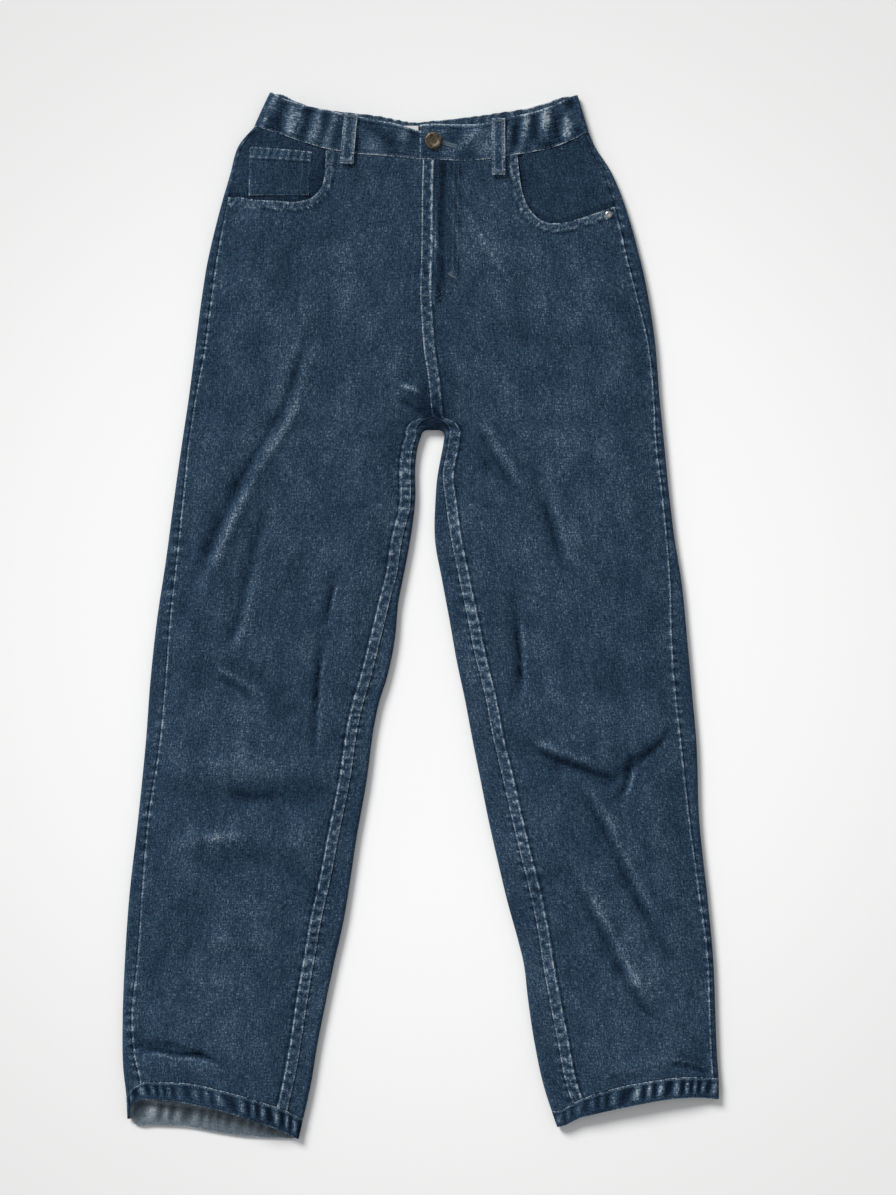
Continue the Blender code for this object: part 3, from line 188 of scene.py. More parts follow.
# Faded areas and darker patches on the layout sheet, with a painted shadow where the cloth dips at the crotch: x,
# y, radii, turn in degrees, strength
fadesAndShadows = (
    (340, 275, 22, 34, 0, 0.10), (330, 480, 52, 190, -8, 0.02), (560, 480, 60, 190, 8, 0.03),
    (240, 730, 50, 70, 0, 0.03), (590, 700, 52, 60, 0, -0.06), (590, 735, 45, 22, 10, 0.02),
    (215, 980, 60, 60, 0, 0.04), (640, 980, 60, 70, 0, 0.04), (450, 400, 26, 30, 0, -0.05),
    # (434, 417) is painted shadow in the dip beside the crotch seam
    (434, 417, 14, 16, 0, -0.34), (300, 800, 40, 30, 0, -0.03), (300, 240, 60, 60, 0, -0.03),
    (520, 260, 60, 50, 0, 0.03), (610, 300, 40, 70, 0, -0.02), (150, 900, 40, 80, 0, -0.02),
)
rightCuff = dict(
    outer=((1004, -293.5), (1026, -292.5)), inner=((1026, -117.0), (1046, -121.5)),
    frontTop=((-293.5, 1004), (-288, 996), (-280, 990.5), (-254, 988), (-226, 989.5), (-198, 996),
              (-177, 1001.5), (-156, 1008), (-130, 1018.5), (-117, 1026)),
    frontBottom=((-292.5, 1026), (-289, 1014), (-283, 1007.5), (-270, 1005.5), (-254, 1006),
                 (-226, 1010), (-198, 1016), (-170, 1025), (-150, 1032), (-121.5, 1046)),
    backBottom=((-292.5, 1026), (-286, 1031), (-265, 1032.5), (-235, 1034), (-200, 1040),
                (-180, 1043), (-150, 1045), (-121.5, 1046)),
)
leftCuff = dict(
    outer=((985, 297.8), (1006, 298.0)), inner=((1018, 131.0), (1034, 136.5)),
    frontTop=((131, 1018), (141, 1016), (150, 1011), (163, 1004), (182, 997.5), (230, 987),
              (257, 983.5), (285, 984), (297.8, 985)),
    frontBottom=((136.5, 1034), (146, 1031), (155, 1026), (171, 1021), (204, 1013.5), (237, 1007),
                 (277, 1004), (298, 1006)),
    backBottom=((136.5, 1034), (150, 1029), (171, 1021), (204, 1013), (237, 1006.5),
                (277, 1003.5), (298, 1006)),
)
rightPocket = (
    (-94, 55), (-94.8, 79), (-97.6, 95), (-107, 106.5), (-121.4, 111.5), (-144, 110.5),
    (-165, 109.5), (-182, 106.5), (-204, 107),
)
leftPocket = (
    (96, 55), (98.6, 84), (102.5, 105), (110, 120.5), (122.4, 131), (140.7, 132.7),
    (163.7, 126.6), (189, 117.5), (212, 110),
)
coinPocket = dict(corners=((-170, 56), (-108, 62), (-111, 105), (-171, 105)), hem=11.0, rise=1.0)
backPocket = dict(top=165.0, width=138.0, height=150.0, point=18.0, inner=42.0, hem=24.0)
beltLoops = (
    ("belt_loop_right", -69, 24.5, -73.5, 74), ("belt_loop_left", 77.5, 29, 77.8, 85),
)
beltLoop = dict(width=13.5, arch=1.3, lip=5.0)
backLoops = (("belt_loop_back_right", -84), ("belt_loop_back_centre", 2.3), ("belt_loop_back_left", 88))
backLoop = dict(width=13.5, height=35.0, thick=1.5, flat=10.0, ramp=7.0)
button = dict(across=13.0, drop=51.0, radius=8.5, thick=2.6)
rivet = dict(across=187.5, drop=124.0, radius=3.4, thick=0.9)
zipper = dict(inset=2.0, width=22.0, top=72.0, foot=200.0, teeth=3.2, toothPitch=2.6)
label = dict(across=-8.8, width=13.5, top=36.5, foot=58.0, thick=0.5)
thread = dict(pitch=3.3, length=1.15, width=0.3, height=0.24, lift=0.12)

right = dict(sign=-1, outer=rightOuter, inner=rightInner, cuff=rightCuff, pocket=rightPocket,
             waistEnd=-166.0, hem=(1004.0, 1026.0), word="right", seed=1.3)
left = dict(sign=1, outer=leftOuter, inner=leftInner, cuff=leftCuff, pocket=leftPocket,
            waistEnd=168.0, hem=(985.0, 1018.0), word="left", seed=4.1)


# Curves

def smooth(table, at, column=1):
    rows = np.asarray(table, float)
    x, y = rows[:, 0], rows[:, column]
    slope = np.gradient(y, x)
    at = np.asarray(at, float)
    i = np.clip(np.searchsorted(x, at) - 1, 0, len(x) - 2)
    width = x[i + 1] - x[i]
    t = (at - x[i]) / width
    b = np.clip(t, 0, 1)
    a = 1 - b
    value = (a * a * (1 + 2 * b) * y[i] + b * b * (3 - 2 * b) * y[i + 1]
             + a * a * b * width * slope[i] - a * b * b * width * slope[i + 1])
    return value + (t - b) * (y[i + 1] - y[i])


def ease(t):
    t = np.clip(t, 0, 1)
    return t * t * (3 - 2 * t)


def mix(a, b, t):
    return a + (b - a) * t


def unit(vectors):
    return vectors / np.maximum(np.linalg.norm(vectors, axis=-1, keepdims=True), 1e-9)


def fromSheet(points):
    return np.asarray(points, float) + [sheetCorner["across"], sheetCorner["drop"]]


def evenly(points, step):
    points = np.asarray(points, float)
    run = np.concatenate([[0], np.cumsum(np.linalg.norm(np.diff(points, axis=0), axis=1))])
    at = np.linspace(0, run[-1], max(2, int(run[-1] / step) + 1))
    return np.stack([smooth(np.column_stack([run, points[:, k]]), at)
                     for k in range(points.shape[1])], axis=-1)


def beside(points, offset):
    run = unit(np.gradient(points, axis=0))
    return points + np.stack([-run[:, 1], run[:, 0]], axis=-1) * offset


def fromLines(points, starts, ends):
    flat = np.asarray(points, float).reshape(-1, 2)
    run = ends - starts
    square = np.maximum((run * run).sum(-1), 1e-9)
    gaps, feet, which = [], [], []
    for part in np.array_split(flat, len(flat) // 4000 + 1):
        share = ((part[:, None] - starts) * run).sum(-1) / square
        foot = starts + np.clip(share, 0, 1)[..., None] * run
        gap = np.linalg.norm(part[:, None] - foot, axis=-1)
        nearest = gap.argmin(1)
        rows = np.arange(len(part))
        gaps.append(gap[rows, nearest])
        feet.append(foot[rows, nearest])
        which.append(nearest)
    shape = np.shape(points)[:-1]
    return (np.concatenate(gaps).reshape(shape), np.concatenate(feet).reshape(shape + (2,)),
            np.concatenate(which).reshape(shape))


def fromPath(points, path):
    # Signed distance, positive to the left of the path as it runs on the sheet, and the run
    path = np.asarray(path, float)
    starts, ends = path[:-1], path[1:]
    gap, foot, which = fromLines(points, starts, ends)
    line, away = (ends - starts)[which], points - foot
    side = np.sign(line[..., 0] * away[..., 1] - line[..., 1] * away[..., 0])
    lengths = np.linalg.norm(ends - starts, axis=1)
    before = np.concatenate([[0], np.cumsum(lengths)])[which]
    return gap * side, before + np.linalg.norm(foot - starts[which], axis=-1), lengths.sum()


# Outline

def edgePoint(side, which, drop):
    table, step = side[which], 2.0
    across = smooth(table, drop)
    lean = (smooth(table, drop + step) - smooth(table, drop - step)) / (2 * step)
    sign = side["sign"] if which == "outer" else -side["sign"]
    return (np.stack([across, np.asarray(drop, float)], axis=-1),
            unit(np.stack([np.full_like(across, sign), -sign * lean], axis=-1)))


def insetAt(side, which, drop):
    return np.maximum(smooth(side[which], drop, 2), fold["leastInset"])


def crotchCorner(side, count):
    near = crotch["across"][0 if side["sign"] < 0 else 1]
    centre = np.array([near - side["sign"] * crotch["radius"], crotch["edge"] + crotch["radius"]])
    turn = np.linspace(0, math.pi / 2, count)
    away = np.stack([side["sign"] * np.sin(turn), -np.cos(turn)], axis=-1)
    return centre + away * crotch["radius"], -away


def outlinePaths():
    paths, legs, past = [], [], 40
    for side, topEnd in zip((right, left), waist["topEnds"]):
        drops = np.linspace(side["outer"][0][0], side["outer"][-1][0] + past, 90)
        low = edgePoint(side, "outer", drops)[0]
        top = np.array([topEnd, smooth(backTop, topEnd)])
        paths.append(np.vstack([2 * top - low[0], top, low]))
        drops = np.linspace(crotch["edge"] + crotch["radius"], side["inner"][-1][0] + past, 80)[1:]
        legs.append(np.vstack([crotchCorner(side, 7)[0], edgePoint(side, "inner", drops)[0]]))
    return paths + [np.vstack([legs[0][::-1], legs[1]])]


outline = outlinePaths()
outlineStarts = np.vstack([path[:-1] for path in outline])
outlineEnds = np.vstack([path[1:] for path in outline])


# Height and wear of the top surface

def ridges(points, table):
    height = np.zeros(np.shape(points)[:-1])
    for x0, d0, x1, d1, half, rise in table:
        start, run = np.array([x0, d0]), np.array([x1 - x0, d1 - d0])
        share = np.clip(((points - start) * run).sum(-1) / (run * run).sum(), 0, 1)
        gap = np.linalg.norm(points - start - share[..., None] * run, axis=-1)
        height += rise * np.exp(-((gap / half) ** 2))
    return height


def creased(points):
    height, rubAndShade = np.zeros(np.shape(points)[:-1]), np.zeros(np.shape(points)[:-1])
    for path, half, rise, wearAndShading in creases:
        path = evenly(fromSheet(path), 8)
        low, high = path.min(0) - 3 * half, path.max(0) + 3 * half
        near = ((points > low) & (points < high)).all(-1)
        if not near.any():
            continue
        gap, run, total = fromPath(points[near], path)
        waver = 1 + 0.25 * np.sin(run / 17 + rise) + 0.15 * np.sin(run / 7.3)
        taper = ease(run / (0.25 * total)) * ease((total - run) / (0.25 * total))
        height[near] += rise * waver * taper * np.exp(-((gap / half) ** 2))
        # Ridges rub lighter; troughs, with rise below zero, are painted darker as shade
        rubAndShade[near] += wearAndShading * rise * waver * taper * np.exp(-((gap / (0.7 * half)) ** 2))
    return height, rubAndShade


def fadedAndShaded(points):
    tone = np.zeros(np.shape(points)[:-1])
    for x, y, wide, tall, turn, strength in fadesAndShadows:
        away = points - fromSheet((x, y))
        c, s = math.cos(math.radians(turn)), math.sin(math.radians(turn))
        across, down = away[..., 0] * c + away[..., 1] * s, away[..., 1] * c - away[..., 0] * s
        tone += strength * np.exp(-(across / wide) ** 2 - (down / tall) ** 2)
    return tone


def rolling(points):
    # Small uneven swells of cloth that was smoothed down by hand
    x, y = points[..., 0], points[..., 1]
    return (0.30 * np.sin(x / 17 + y / 49 + 1.7 * np.sin(y / 61))
            + 0.24 * np.sin(x / 29 - y / 23 + 1.3 * np.sin(x / 47 + 2))
            + 0.14 * np.sin(x / 8.5 + y / 13 + 2.1 * np.sin(y / 31 + x / 53)))


def puckered(run, gap, seed):
    phase = run / puckers["pitch"] + 0.4 * np.sin(run / 23 + seed) + 0.25 * np.sin(run / 7.1 + 2 * seed)
    strength = 0.65 + 0.35 * np.sin(run / 37 + seed)
    return strength * np.sin(2 * math.pi * phase) * np.exp(-((gap / puckers["run"]) ** 2))


def lieOver(points, radius, extra=()):
    # Height of the outer surface over plan points, and the wear and painted light and shade there
    points = np.asarray(points, float)
    inside, foot, _ = fromLines(points, outlineStarts, outlineEnds)
    turn = np.clip((radius - inside) / radius, 0, 1)
    rightLoft, leftLoft = (smooth(loftTable, points[..., 1], k) for k in (1, 2))
    full = mix(rightLoft, leftLoft, ease((points[..., 0] + 12) / 40))
    flat = ease((inside - fold["panel"]) / loft["folds"])
    large = ridges(points, folds + tuple(extra)) * flat
    sharp, rubAndShade = creased(points)
    swell = rolling(points)
    height = (radius + radius * np.sqrt(1 - turn ** 2)
              + full * ease((inside - fold["panel"]) / loft["run"])
              + large + (1.3 * sharp + swell) * flat)
    # Real fades and rubbed crease ridges, plus painted light and shade: fold ridges and swells painted lighter,
    # their hollows and crease troughs darker
    wearAndShading = fadedAndShaded(points) + 0.035 * large + 0.16 * rubAndShade * flat + 0.045 * swell
    return height, wearAndShading


# Materials

class Wire:
    # One output of a node tree, so that maths on it can be written as sums
    def __init__(self, tree, socket):
        self.tree, self.socket = tree, socket

    def maths(self, kind, first, second=0.0):
        return self.tree.add("ShaderNodeMath", dict(operation=kind), {0: first, 1: second})

    def __add__(self, other):
        return self.maths("ADD", self, other)

    def __radd__(self, other):
        return self.maths("ADD", other, self)

    def __sub__(self, other):
        return self.maths("SUBTRACT", self, other)

    def __rsub__(self, other):
        return self.maths("SUBTRACT", other, self)

    def __mul__(self, other):
        return self.maths("MULTIPLY", self, other)

    def __rmul__(self, other):
        return self.maths("MULTIPLY", other, self)

    def __truediv__(self, other):
        return self.maths("DIVIDE", self, other)

    def __rtruediv__(self, other):
        return self.maths("DIVIDE", other, self)

    def sine(self):
        return self.maths("SINE", self)

    def fade(self, low, high):
        # 1 at or below low, 0 at or above high
        return self.tree.add("ShaderNodeMapRange", dict(interpolation_type="SMOOTHSTEP"),
                             {"Value": self, "From Min": low, "From Max": high, "To Min": 1.0,
                              "To Max": 0.0})


class Tree:
    def __init__(self, group):
        self.nodes, self.links = group.nodes, group.links

    def add(self, kind, settings, inputs, output=0):
        node = self.nodes.new(kind)
        for key, value in settings.items():
            setattr(node, key, value)
        for key, value in inputs.items():
            if isinstance(value, Wire):
                self.links.new(value.socket, node.inputs[key])
            else:
                node.inputs[key].default_value = value
        return Wire(self, node.outputs[output])


def newLook(name, colour, roughness, metallic=0.0):
    look = bpy.data.materials.new(name)
    look.use_nodes = True
    shader = look.node_tree.nodes["Principled BSDF"]
    shader.inputs["Base Color"].default_value = (*colour, 1)
    shader.inputs["Roughness"].default_value = roughness
    shader.inputs["Metallic"].default_value = metallic
    return look, Tree(look.node_tree), shader


def colours(tree, value, stops):
    # A colour for each value, from (position, red, green, blue) rows
    ramp = tree.add("ShaderNodeValToRGB", {}, {"Fac": value})
    band = ramp.socket.node.color_ramp
    for k, (position, *colour) in enumerate(stops):
        stop = band.elements[k] if k < 2 else band.elements.new(position)
        stop.position = position
        stop.color = (*colour, 1)
    return ramp


denim = dict(warp=0.42, slub=0.16, weft=0.26, grain=0.80, cloud=0.30, twill=0.08, edge=0.50,
             bump=0.6, depth=0.0003)


def denimLook(name, stops, tone=0.0, strength=1.0):
    look, tree, shader = newLook(name, (0.031, 0.056, 0.089), 0.92)
    shader.inputs["Specular IOR Level"].default_value = 0.05
    weave = tree.add("ShaderNodeUVMap", dict(uv_map="weave"), {})

    def noise(wide, tall, detail, seed):
        place = tree.add("ShaderNodeVectorMath", dict(operation="MULTIPLY_ADD"),
                         {0: weave, 1: (wide, tall, 1.0), 2: (seed, seed * 1.7, 0.0)})
        return tree.add("ShaderNodeTexNoise", dict(noise_dimensions="2D"),
                        {"Vector": place, "Scale": 1.0, "Detail": detail, "Roughness": 0.6}) - 0.5

    def attribute(key):
        return tree.add("ShaderNodeAttribute", dict(attribute_name=key), {}, "Fac")

    warp, slub = noise(0.80, 0.16, 1.0, 3.1), noise(0.22, 0.03, 2.0, 11.7)
    weft, grain = noise(0.14, 0.80, 1.0, 23.9), noise(0.62, 0.55, 2.0, 31.3)
    cloud = noise(0.045, 0.03, 3.0, 47.0)
    split = tree.add("ShaderNodeSeparateXYZ", {}, {"Vector": weave})
    along = Wire(tree, split.socket.node.outputs["Y"])
    twill = ((split * 1.0 + along * 0.62) * (2 * math.pi / 0.95)).sine()
    threads = (warp * denim["warp"] + slub * denim["slub"] + weft * denim["weft"]
             + grain * denim["grain"] + cloud * denim["cloud"] + twill * denim["twill"] * 0.5)
    worn = attribute("edge").fade(0.15, 1.7) * (0.45 + grain * 1.6 + cloud * 1.5) * denim["edge"]
    # The per-point attribute holds worn lines and fades together with painted light and shade of folds, puckers,
    # gathers and steps
    value = 0.5 + tone + threads * strength + attribute("wearAndShading") * (1.0 + grain * 0.9) + worn
    ramp = colours(tree, value, stops)
    tree.links.new(ramp.socket, shader.inputs["Base Color"])
    tree.links.new((0.90 + threads * 0.1).socket, shader.inputs["Roughness"])
    bump = tree.add("ShaderNodeBump", {}, {"Strength": denim["bump"], "Distance": denim["depth"],
                                           "Height": warp + grain + weft * 0.6 + twill * 0.35})
    tree.links.new(bump.socket, shader.inputs["Normal"])
    return look


def metalLook(name, colour, dark, roughness, scale):
    look, tree, shader = newLook(name, colour, roughness, 1.0)
    place = tree.add("ShaderNodeTexCoord", {}, {}, "Object")
    spots = tree.add("ShaderNodeTexNoise", {}, {"Vector": place, "Scale": scale, "Detail": 4.0})
    ramp = colours(tree, spots, ((0.35, *dark), (0.62, *colour)))
    tree.links.new(ramp.socket, shader.inputs["Base Color"])
    tree.links.new((roughness - 0.15 + spots * 0.3).socket, shader.inputs["Roughness"])
    return look


def clothLook(name, colour, scale, change, roughness=0.9):
    look, tree, shader = newLook(name, colour, roughness)
    place = tree.add("ShaderNodeTexCoord", {}, {}, "Object")
    spots = tree.add("ShaderNodeTexNoise", {}, {"Vector": place, "Scale": scale, "Detail": 2.0})
    dark = tuple(v * (1 - change) for v in colour)
    pale = tuple(min(v * (1 + change), 1.0) for v in colour)
    ramp = colours(tree, spots, ((0.3, *dark), (0.7, *pale)))
    tree.links.new(ramp.socket, shader.inputs["Base Color"])
    bump = tree.add("ShaderNodeBump", {}, {"Strength": 0.3, "Distance": 0.0002, "Height": spots})
    tree.links.new(bump.socket, shader.inputs["Normal"])
    return look


def floorLook(name, near, far, start, end):
    # Pale paper with painted shade: it darkens a little towards its corners, where the light falls off
    look, tree, shader = newLook(name, near, 0.85)
    place = tree.add("ShaderNodeTexCoord", {}, {}, "Object")
    away = tree.add("ShaderNodeVectorMath", dict(operation="LENGTH"), {0: place}, "Value")
    ramp = colours(tree, away.fade(start, end), ((0.0, *far), (1.0, *near)))
    tree.links.new(ramp.socket, shader.inputs["Base Color"])
    return look


outsideStops = ((0.18, 0.0042, 0.0095, 0.020), (0.50, 0.0205, 0.0435, 0.079), (0.66, 0.045, 0.082, 0.130),
                (0.84, 0.150, 0.200, 0.262), (1.0, 0.36, 0.42, 0.475))
insideStops = ((0.15, 0.060, 0.080, 0.100), (0.45, 0.125, 0.158, 0.190), (0.75, 0.22, 0.26, 0.295),
               (1.0, 0.42, 0.46, 0.49))
looks = dict(
    denim=denimLook("denim", outsideStops),
    denimInside=denimLook("denim_inside", insideStops, 0.0, 0.8),
    thread=clothLook("thread", (0.085, 0.120, 0.160), 900.0, 0.5),
    tape=clothLook("zip_tape", (0.022, 0.032, 0.045), 700.0, 0.3),
    label=clothLook("label", (0.66, 0.66, 0.64), 600.0, 0.08),
    brass=metalLook("brass", (0.17, 0.135, 0.095), (0.045, 0.036, 0.028), 0.5, 420.0),
    nickel=metalLook("nickel", (0.60, 0.60, 0.58), (0.30, 0.30, 0.29), 0.32, 700.0),
    floor=floorLook("floor", (0.955, 0.955, 0.955), (0.80, 0.80, 0.798), 0.25, 0.80),
)
print("materials")



# Meshes

def toFrame(points):
    points = np.asarray(points, float)
    return np.stack([points[..., 0] - middle["across"], middle["drop"] - points[..., 1],
                     points[..., 2]], axis=-1) * mm


def gridFaces(rows, columns, closed=False):
    wide = columns if closed else columns - 1
    r, c = np.meshgrid(np.arange(rows - 1), np.arange(wide), indexing="ij")
    after = (c + 1) % columns
    return np.stack([r * columns + c, r * columns + after, (r + 1) * columns + after,
                     (r + 1) * columns + c], axis=-1).reshape(-1, 4)


def keepPart(values, faces, keep):
    # Cuts a mesh along the line where keep is 0; values holds every column of its points
    values, keep = [list(row) for row in values], list(keep)
    made, kept = {}, []

    def crossing(a, b):
        key = (min(a, b), max(a, b))
        if key not in made:
            share = keep[a] / (keep[a] - keep[b])
            values.append([mix(p, q, share) for p, q in zip(values[a], values[b])])
            keep.append(0.0)
            made[key] = len(values) - 1
        return made[key]

    for face in faces:
        signs = [keep[i] > 0 for i in face]
        if all(signs):
            kept.append(list(face))
        elif any(signs):
            ring = []
            for k, i in enumerate(face):
                after = face[(k + 1) % len(face)]
                if signs[k]:
                    ring.append(i)
                if signs[k] != (keep[after] > 0):
                    ring.append(crossing(i, after))
            kept.append(ring)
    used = sorted({i for face in kept for i in face})
    place = {old: new for new, old in enumerate(used)}
    return np.array([values[i] for i in used]), [[place[i] for i in face] for face in kept]


pieces = {}


def addPiece(name, points, faces, looks, weave, wearAndShading=0.0, edge=99.0, thick=None, up=True):
    # points are millimetres; weave is (across, along) the cloth; edge is how far a worn edge is
    data = bpy.data.meshes.new(name)
    points = np.reshape(points, (-1, 3))
    data.from_pydata(toFrame(points).tolist(), [], [list(map(int, face)) for face in faces])
    uv = data.uv_layers.new(name="weave")
    corners = np.empty(len(data.loops), int)
    data.loops.foreach_get("vertex_index", corners)
    uv.uv.foreach_set("vector", np.reshape(weave, (-1, 2))[corners].astype(np.float32).ravel())
    # The first attribute holds wear together with painted light and shade; edge is the distance to a worn edge
    for key, value in (("wearAndShading", wearAndShading), ("edge", edge)):
        layer = data.attributes.new(key, "FLOAT", "POINT")
        full = np.broadcast_to(np.ravel(value), len(points)) if np.ndim(value) == 0 else np.ravel(value)
        layer.data.foreach_set("value", full.astype(np.float32))
    facing = np.empty(3 * len(data.polygons))
    data.polygons.foreach_get("normal", facing)
    centres = np.empty(3 * len(data.polygons))
    data.polygons.foreach_get("center", centres)
    high = centres.reshape(-1, 3)[:, 2] > 2 * fold["panel"] * mm - 0.4 * mm
    tilt = facing.reshape(-1, 3)[:, 2]
    outward = tilt[high].sum() if high.any() else -tilt.sum()
    if up is False:
        outward = -tilt.sum()
    if outward < 0:
        data.flip_normals()
    piece = bpy.data.objects.new(name + "_fine", data)
    bpy.context.scene.collection.objects.link(piece)
    for look in looks:
        data.materials.append(look)
    if thick:
        solid = piece.modifiers.new("cloth", "SOLIDIFY")
        solid.thickness = thick * mm
        solid.offset = -1
        solid.use_quality_normals = True
        solid.material_offset = len(looks) - 1
        settle(piece)
    piece.data.shade_smooth()
    piece.data.set_sharp_from_angle(angle=math.radians(50))
    pieces[name] = piece
    return piece


def settle(piece):
    # Turns a piece's modifiers into its mesh
    old = piece.data
    looks = list(old.materials)
    made = bpy.data.meshes.new_from_object(piece.evaluated_get(bpy.context.evaluated_depsgraph_get()))
    piece.modifiers.clear()
    piece.data = made
    if not made.materials:
        for look in looks:
            made.materials.append(look)
    bpy.data.meshes.remove(old)
    made.name = piece.name


# Panels

def panelRows(side):
    # Drops at the outseam, then inner edge points, outward directions and insets below the hips
    top = smooth(waistSeam, side["waistEnd"]) + cloth["endGap"]
    outerHem, innerHem = (drop - cloth["endGap"] for drop in side["hem"])
    hips = int((crotch["hipEnd"] - top) / mesh["row"])
    legs = int((outerHem - crotch["legStart"]) / mesh["row"])
    turn = mesh["turn"]
    outer = np.concatenate([
        np.linspace(top, crotch["hipEnd"], hips),
        np.linspace(crotch["hipEnd"], crotch["legStart"], turn + 2)[1:-1],
        np.linspace(crotch["legStart"], outerHem, legs)])
    corner, cornerOut = crotchCorner(side, turn - 1)
    centre = np.array([smooth(centreLine, crotch["edge"]), crotch["edge"]])
    rim = np.vstack([centre, (centre + corner[0]) / 2, corner[:-1]])
    rimOut = np.vstack([cornerOut[0], cornerOut[0], cornerOut[:-1]])
    legDrops = np.linspace(crotch["edge"] + crotch["radius"], innerHem, legs)
    leg, legOut = edgePoint(side, "inner", legDrops)
    legInset = insetAt(side, "inner", legDrops)
    rimInset = np.linspace(crotch["edge"] - crotch["drop"], legInset[0], turn + 1)[:-1]
    return (outer, hips, np.vstack([rim, leg]), np.vstack([rimOut, legOut]),
            np.concatenate([rimInset, legInset]))


def endShift(side, across, drop, waistDrop, hemDrop):
    atWaist = smooth(waistSeam, across) + cloth["endGap"] - waistDrop
    atHem = smooth(side["cuff"]["frontTop"], across) - cloth["endGap"] - hemDrop
    return (atWaist * (1 - ease((drop - waistDrop) / 130))
            + atHem * ease(1 - (hemDrop - drop) / 70))


def shares(wide=200.0):
    fine = int(mesh["fineRun"] / mesh["fine"])
    edge = mesh["fineRun"] / wide
    ends = np.linspace(0, edge, fine + 1)
    between = np.linspace(edge, 1 - edge, int((1 - 2 * edge) * wide / mesh["column"]) + 1)[1:-1]
    return np.concatenate([ends, between, 1 - ends[::-1]])


def frontPlan(side):
    outer, hips, inner, innerOut, inset = panelRows(side)
    seam = cloth["seam"] / 2
    start, out = edgePoint(side, "outer", outer)
    start = start - out * (insetAt(side, "outer", outer) + seam)[:, None]
    middleDrop = smooth(waistSeam, smooth(centreLine, 69)) + cloth["endGap"]
    drops = np.linspace(middleDrop, crotch["drop"] - mesh["row"], hips)
    centre = np.stack([smooth(centreLine, drops) + side["sign"] * seam, drops], axis=-1)
    inner = inner - innerOut * (inset + seam)[:, None]
    inner[0, 0] += side["sign"] * seam
    plan = mix(start[:, None], np.vstack([centre, inner])[:, None], shares()[None, :, None])
    plan[:, :, 1] += endShift(side, plan[:, :, 0], plan[:, :, 1], plan[0, :, 1], plan[-1, :, 1])
    return plan, hips


def pocketPath(side):
    path = evenly(side["pocket"], 3)
    start, end = path[0], path[-1]
    return np.vstack([[start[0], 0], path, [end[0] + side["sign"] * 40, end[1]]])


def weaveOf(plan):
    wide = np.linalg.norm(plan[:, -1] - plan[:, 0], axis=-1)
    share = np.linalg.norm(plan - plan[:, :1], axis=-1) / wide[:, None]
    return np.stack([(share - 0.5) * wide[:, None], plan[..., 1]], axis=-1)


def flyFlap(points):
    # 1 on the double cloth of the fly, inside its curved stitching
    across = points[..., 0] - smooth(centreLine, points[..., 1])
    reach = fly["stitches"][1] + 1.5
    fall = np.clip((points[..., 1] - fly["turn"]) / (fly["foot"] - fly["turn"]), 0, 1)
    return 1 - ease((across - reach * np.sqrt(1 - fall ** 2)) / 1.2)


